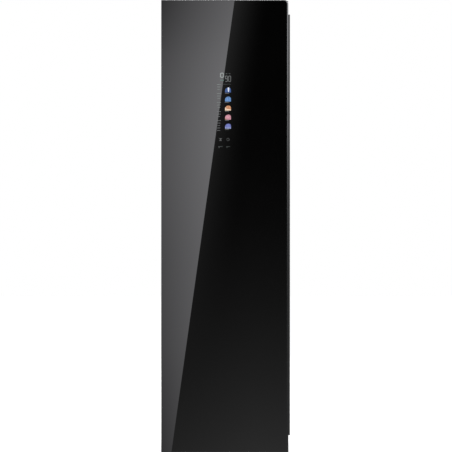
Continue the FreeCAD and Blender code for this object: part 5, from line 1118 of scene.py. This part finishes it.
# The light panel is brightest at three quarters of the door's height, and towards the line.
LEVELS = ((0.0, 0.40), (0.22, 0.66), (0.47, 0.85), (0.72, 1.0), (0.88, 0.78), (1.0, 0.39))
LIGHT_LEVEL = 1.98
LIGHT_INWARD = 2.5
light_panel, tree = new_glow("light_panel")
tree.nodes["Emission"].inputs["Color"].default_value = (0.97, 0.962, 1.0, 1)
heights = tree.nodes.new("ShaderNodeValToRGB")
heights.color_ramp.interpolation = "CARDINAL"
while len(heights.color_ramp.elements) < len(LEVELS):
    heights.color_ramp.elements.new(0.5)
for stop, (place, level) in zip(heights.color_ramp.elements, LEVELS):
    stop.position = place
    stop.color = (level, level, level, 1)
tree.links.new(fade(tree, mirrored(0, 0), mirrored(0, 1.9)), heights.inputs["Fac"])
upright_level = sums(tree, "MULTIPLY", heights.outputs["Color"], LIGHT_LEVEL)
inward = fade(tree, mirrored(-0.265, 0), mirrored(0.09, 0))
level = sums(tree, "MULTIPLY_ADD", inward, LIGHT_INWARD, upright_level)
soft_side = (mirrored(-SOFT_SIDE, 0), mirrored(-PANEL_SIDE, 0))
outline = [(-PANEL_SIDE, PANEL_FOOT), *edge_ends, (-PANEL_SIDE, PANEL_HEAD)]
corners = [mirrored(x, z) for x, z in outline]
hang_panel(light_panel, level, soft_foot, soft_side, corners)

# The dark panel grows lighter towards its foot and to the right, and beside the slanting line.
DARK_LEVEL = 0.015
DARK_POWER = 3.2
DARK_LEFT, DARK_RISE = 0.34, 0.19  # the gain of the foot at the left, and its growth to the right
BESIDE_LEVEL = 0.36
BESIDE_WIDTH = 0.15
dark_panel, tree = new_glow("dark_panel")
downward = sums(tree, "POWER", fade(tree, mirrored(0, 1.816), mirrored(0, 0.02)), DARK_POWER)
rightward = fade(tree, mirrored(-0.25, 0), mirrored(0.12, 0))
foot_gain = sums(tree, "MULTIPLY_ADD", rightward, DARK_RISE, DARK_LEFT)
lean = math.atan(EDGE_LEAN)
on_line = (edge_x(0.95), 0.95)
off_line = (on_line[0] + BESIDE_WIDTH * math.cos(lean), on_line[1] - BESIDE_WIDTH * math.sin(lean))
sideways = fade(tree, mirrored(*off_line), mirrored(*on_line), "QUADRATIC")
beside = sums(tree, "MULTIPLY", sideways, BESIDE_LEVEL)
base = sums(tree, "MULTIPLY_ADD", downward, foot_gain, DARK_LEVEL)
upward = fade(tree, mirrored(0, 0.36), mirrored(0, 1.9))
level = sums(tree, "MULTIPLY_ADD", beside, upward, base)
soft_side = (mirrored(SOFT_SIDE, 0), mirrored(PANEL_SIDE, 0))
outline = [edge_ends[0], (PANEL_SIDE, PANEL_FOOT), (PANEL_SIDE, PANEL_HEAD), edge_ends[1]]
corners = [mirrored(x, z) for x, z in outline]
hang_panel(dark_panel, level, soft_foot, soft_side, corners)

# The side panel stands to the right and shows in the rim and the grip, dark below and light above.
SIDE_X = 1.3
SIDE_LEVEL, SIDE_RISE, SIDE_POWER = 0.15, 2.5, 2.1
SIDE_NEAR, SIDE_FAR, SIDE_FOOT, SIDE_HEAD = -13, 4, -2.5, 3
side_panel, tree = new_glow("side_panel")
climb = sums(tree, "POWER", fade(tree, (SIDE_X, 0, 0.6), (SIDE_X, 0, 1.9)), SIDE_POWER)
level = sums(tree, "MULTIPLY_ADD", climb, SIDE_RISE, SIDE_LEVEL)
soft_foot = ((SIDE_X, 0, -0.3), (SIDE_X, 0, SIDE_FOOT))
soft_side = ((SIDE_X, -4, 0), (SIDE_X, SIDE_NEAR, 0))
outline = [(SIDE_NEAR, SIDE_FOOT), (SIDE_FAR, SIDE_FOOT)]
outline += [(SIDE_FAR, SIDE_HEAD), (SIDE_NEAR, SIDE_HEAD)]
corners = [(SIDE_X, y, z) for y, z in outline]
hang_panel(side_panel, level, soft_foot, soft_side, corners)
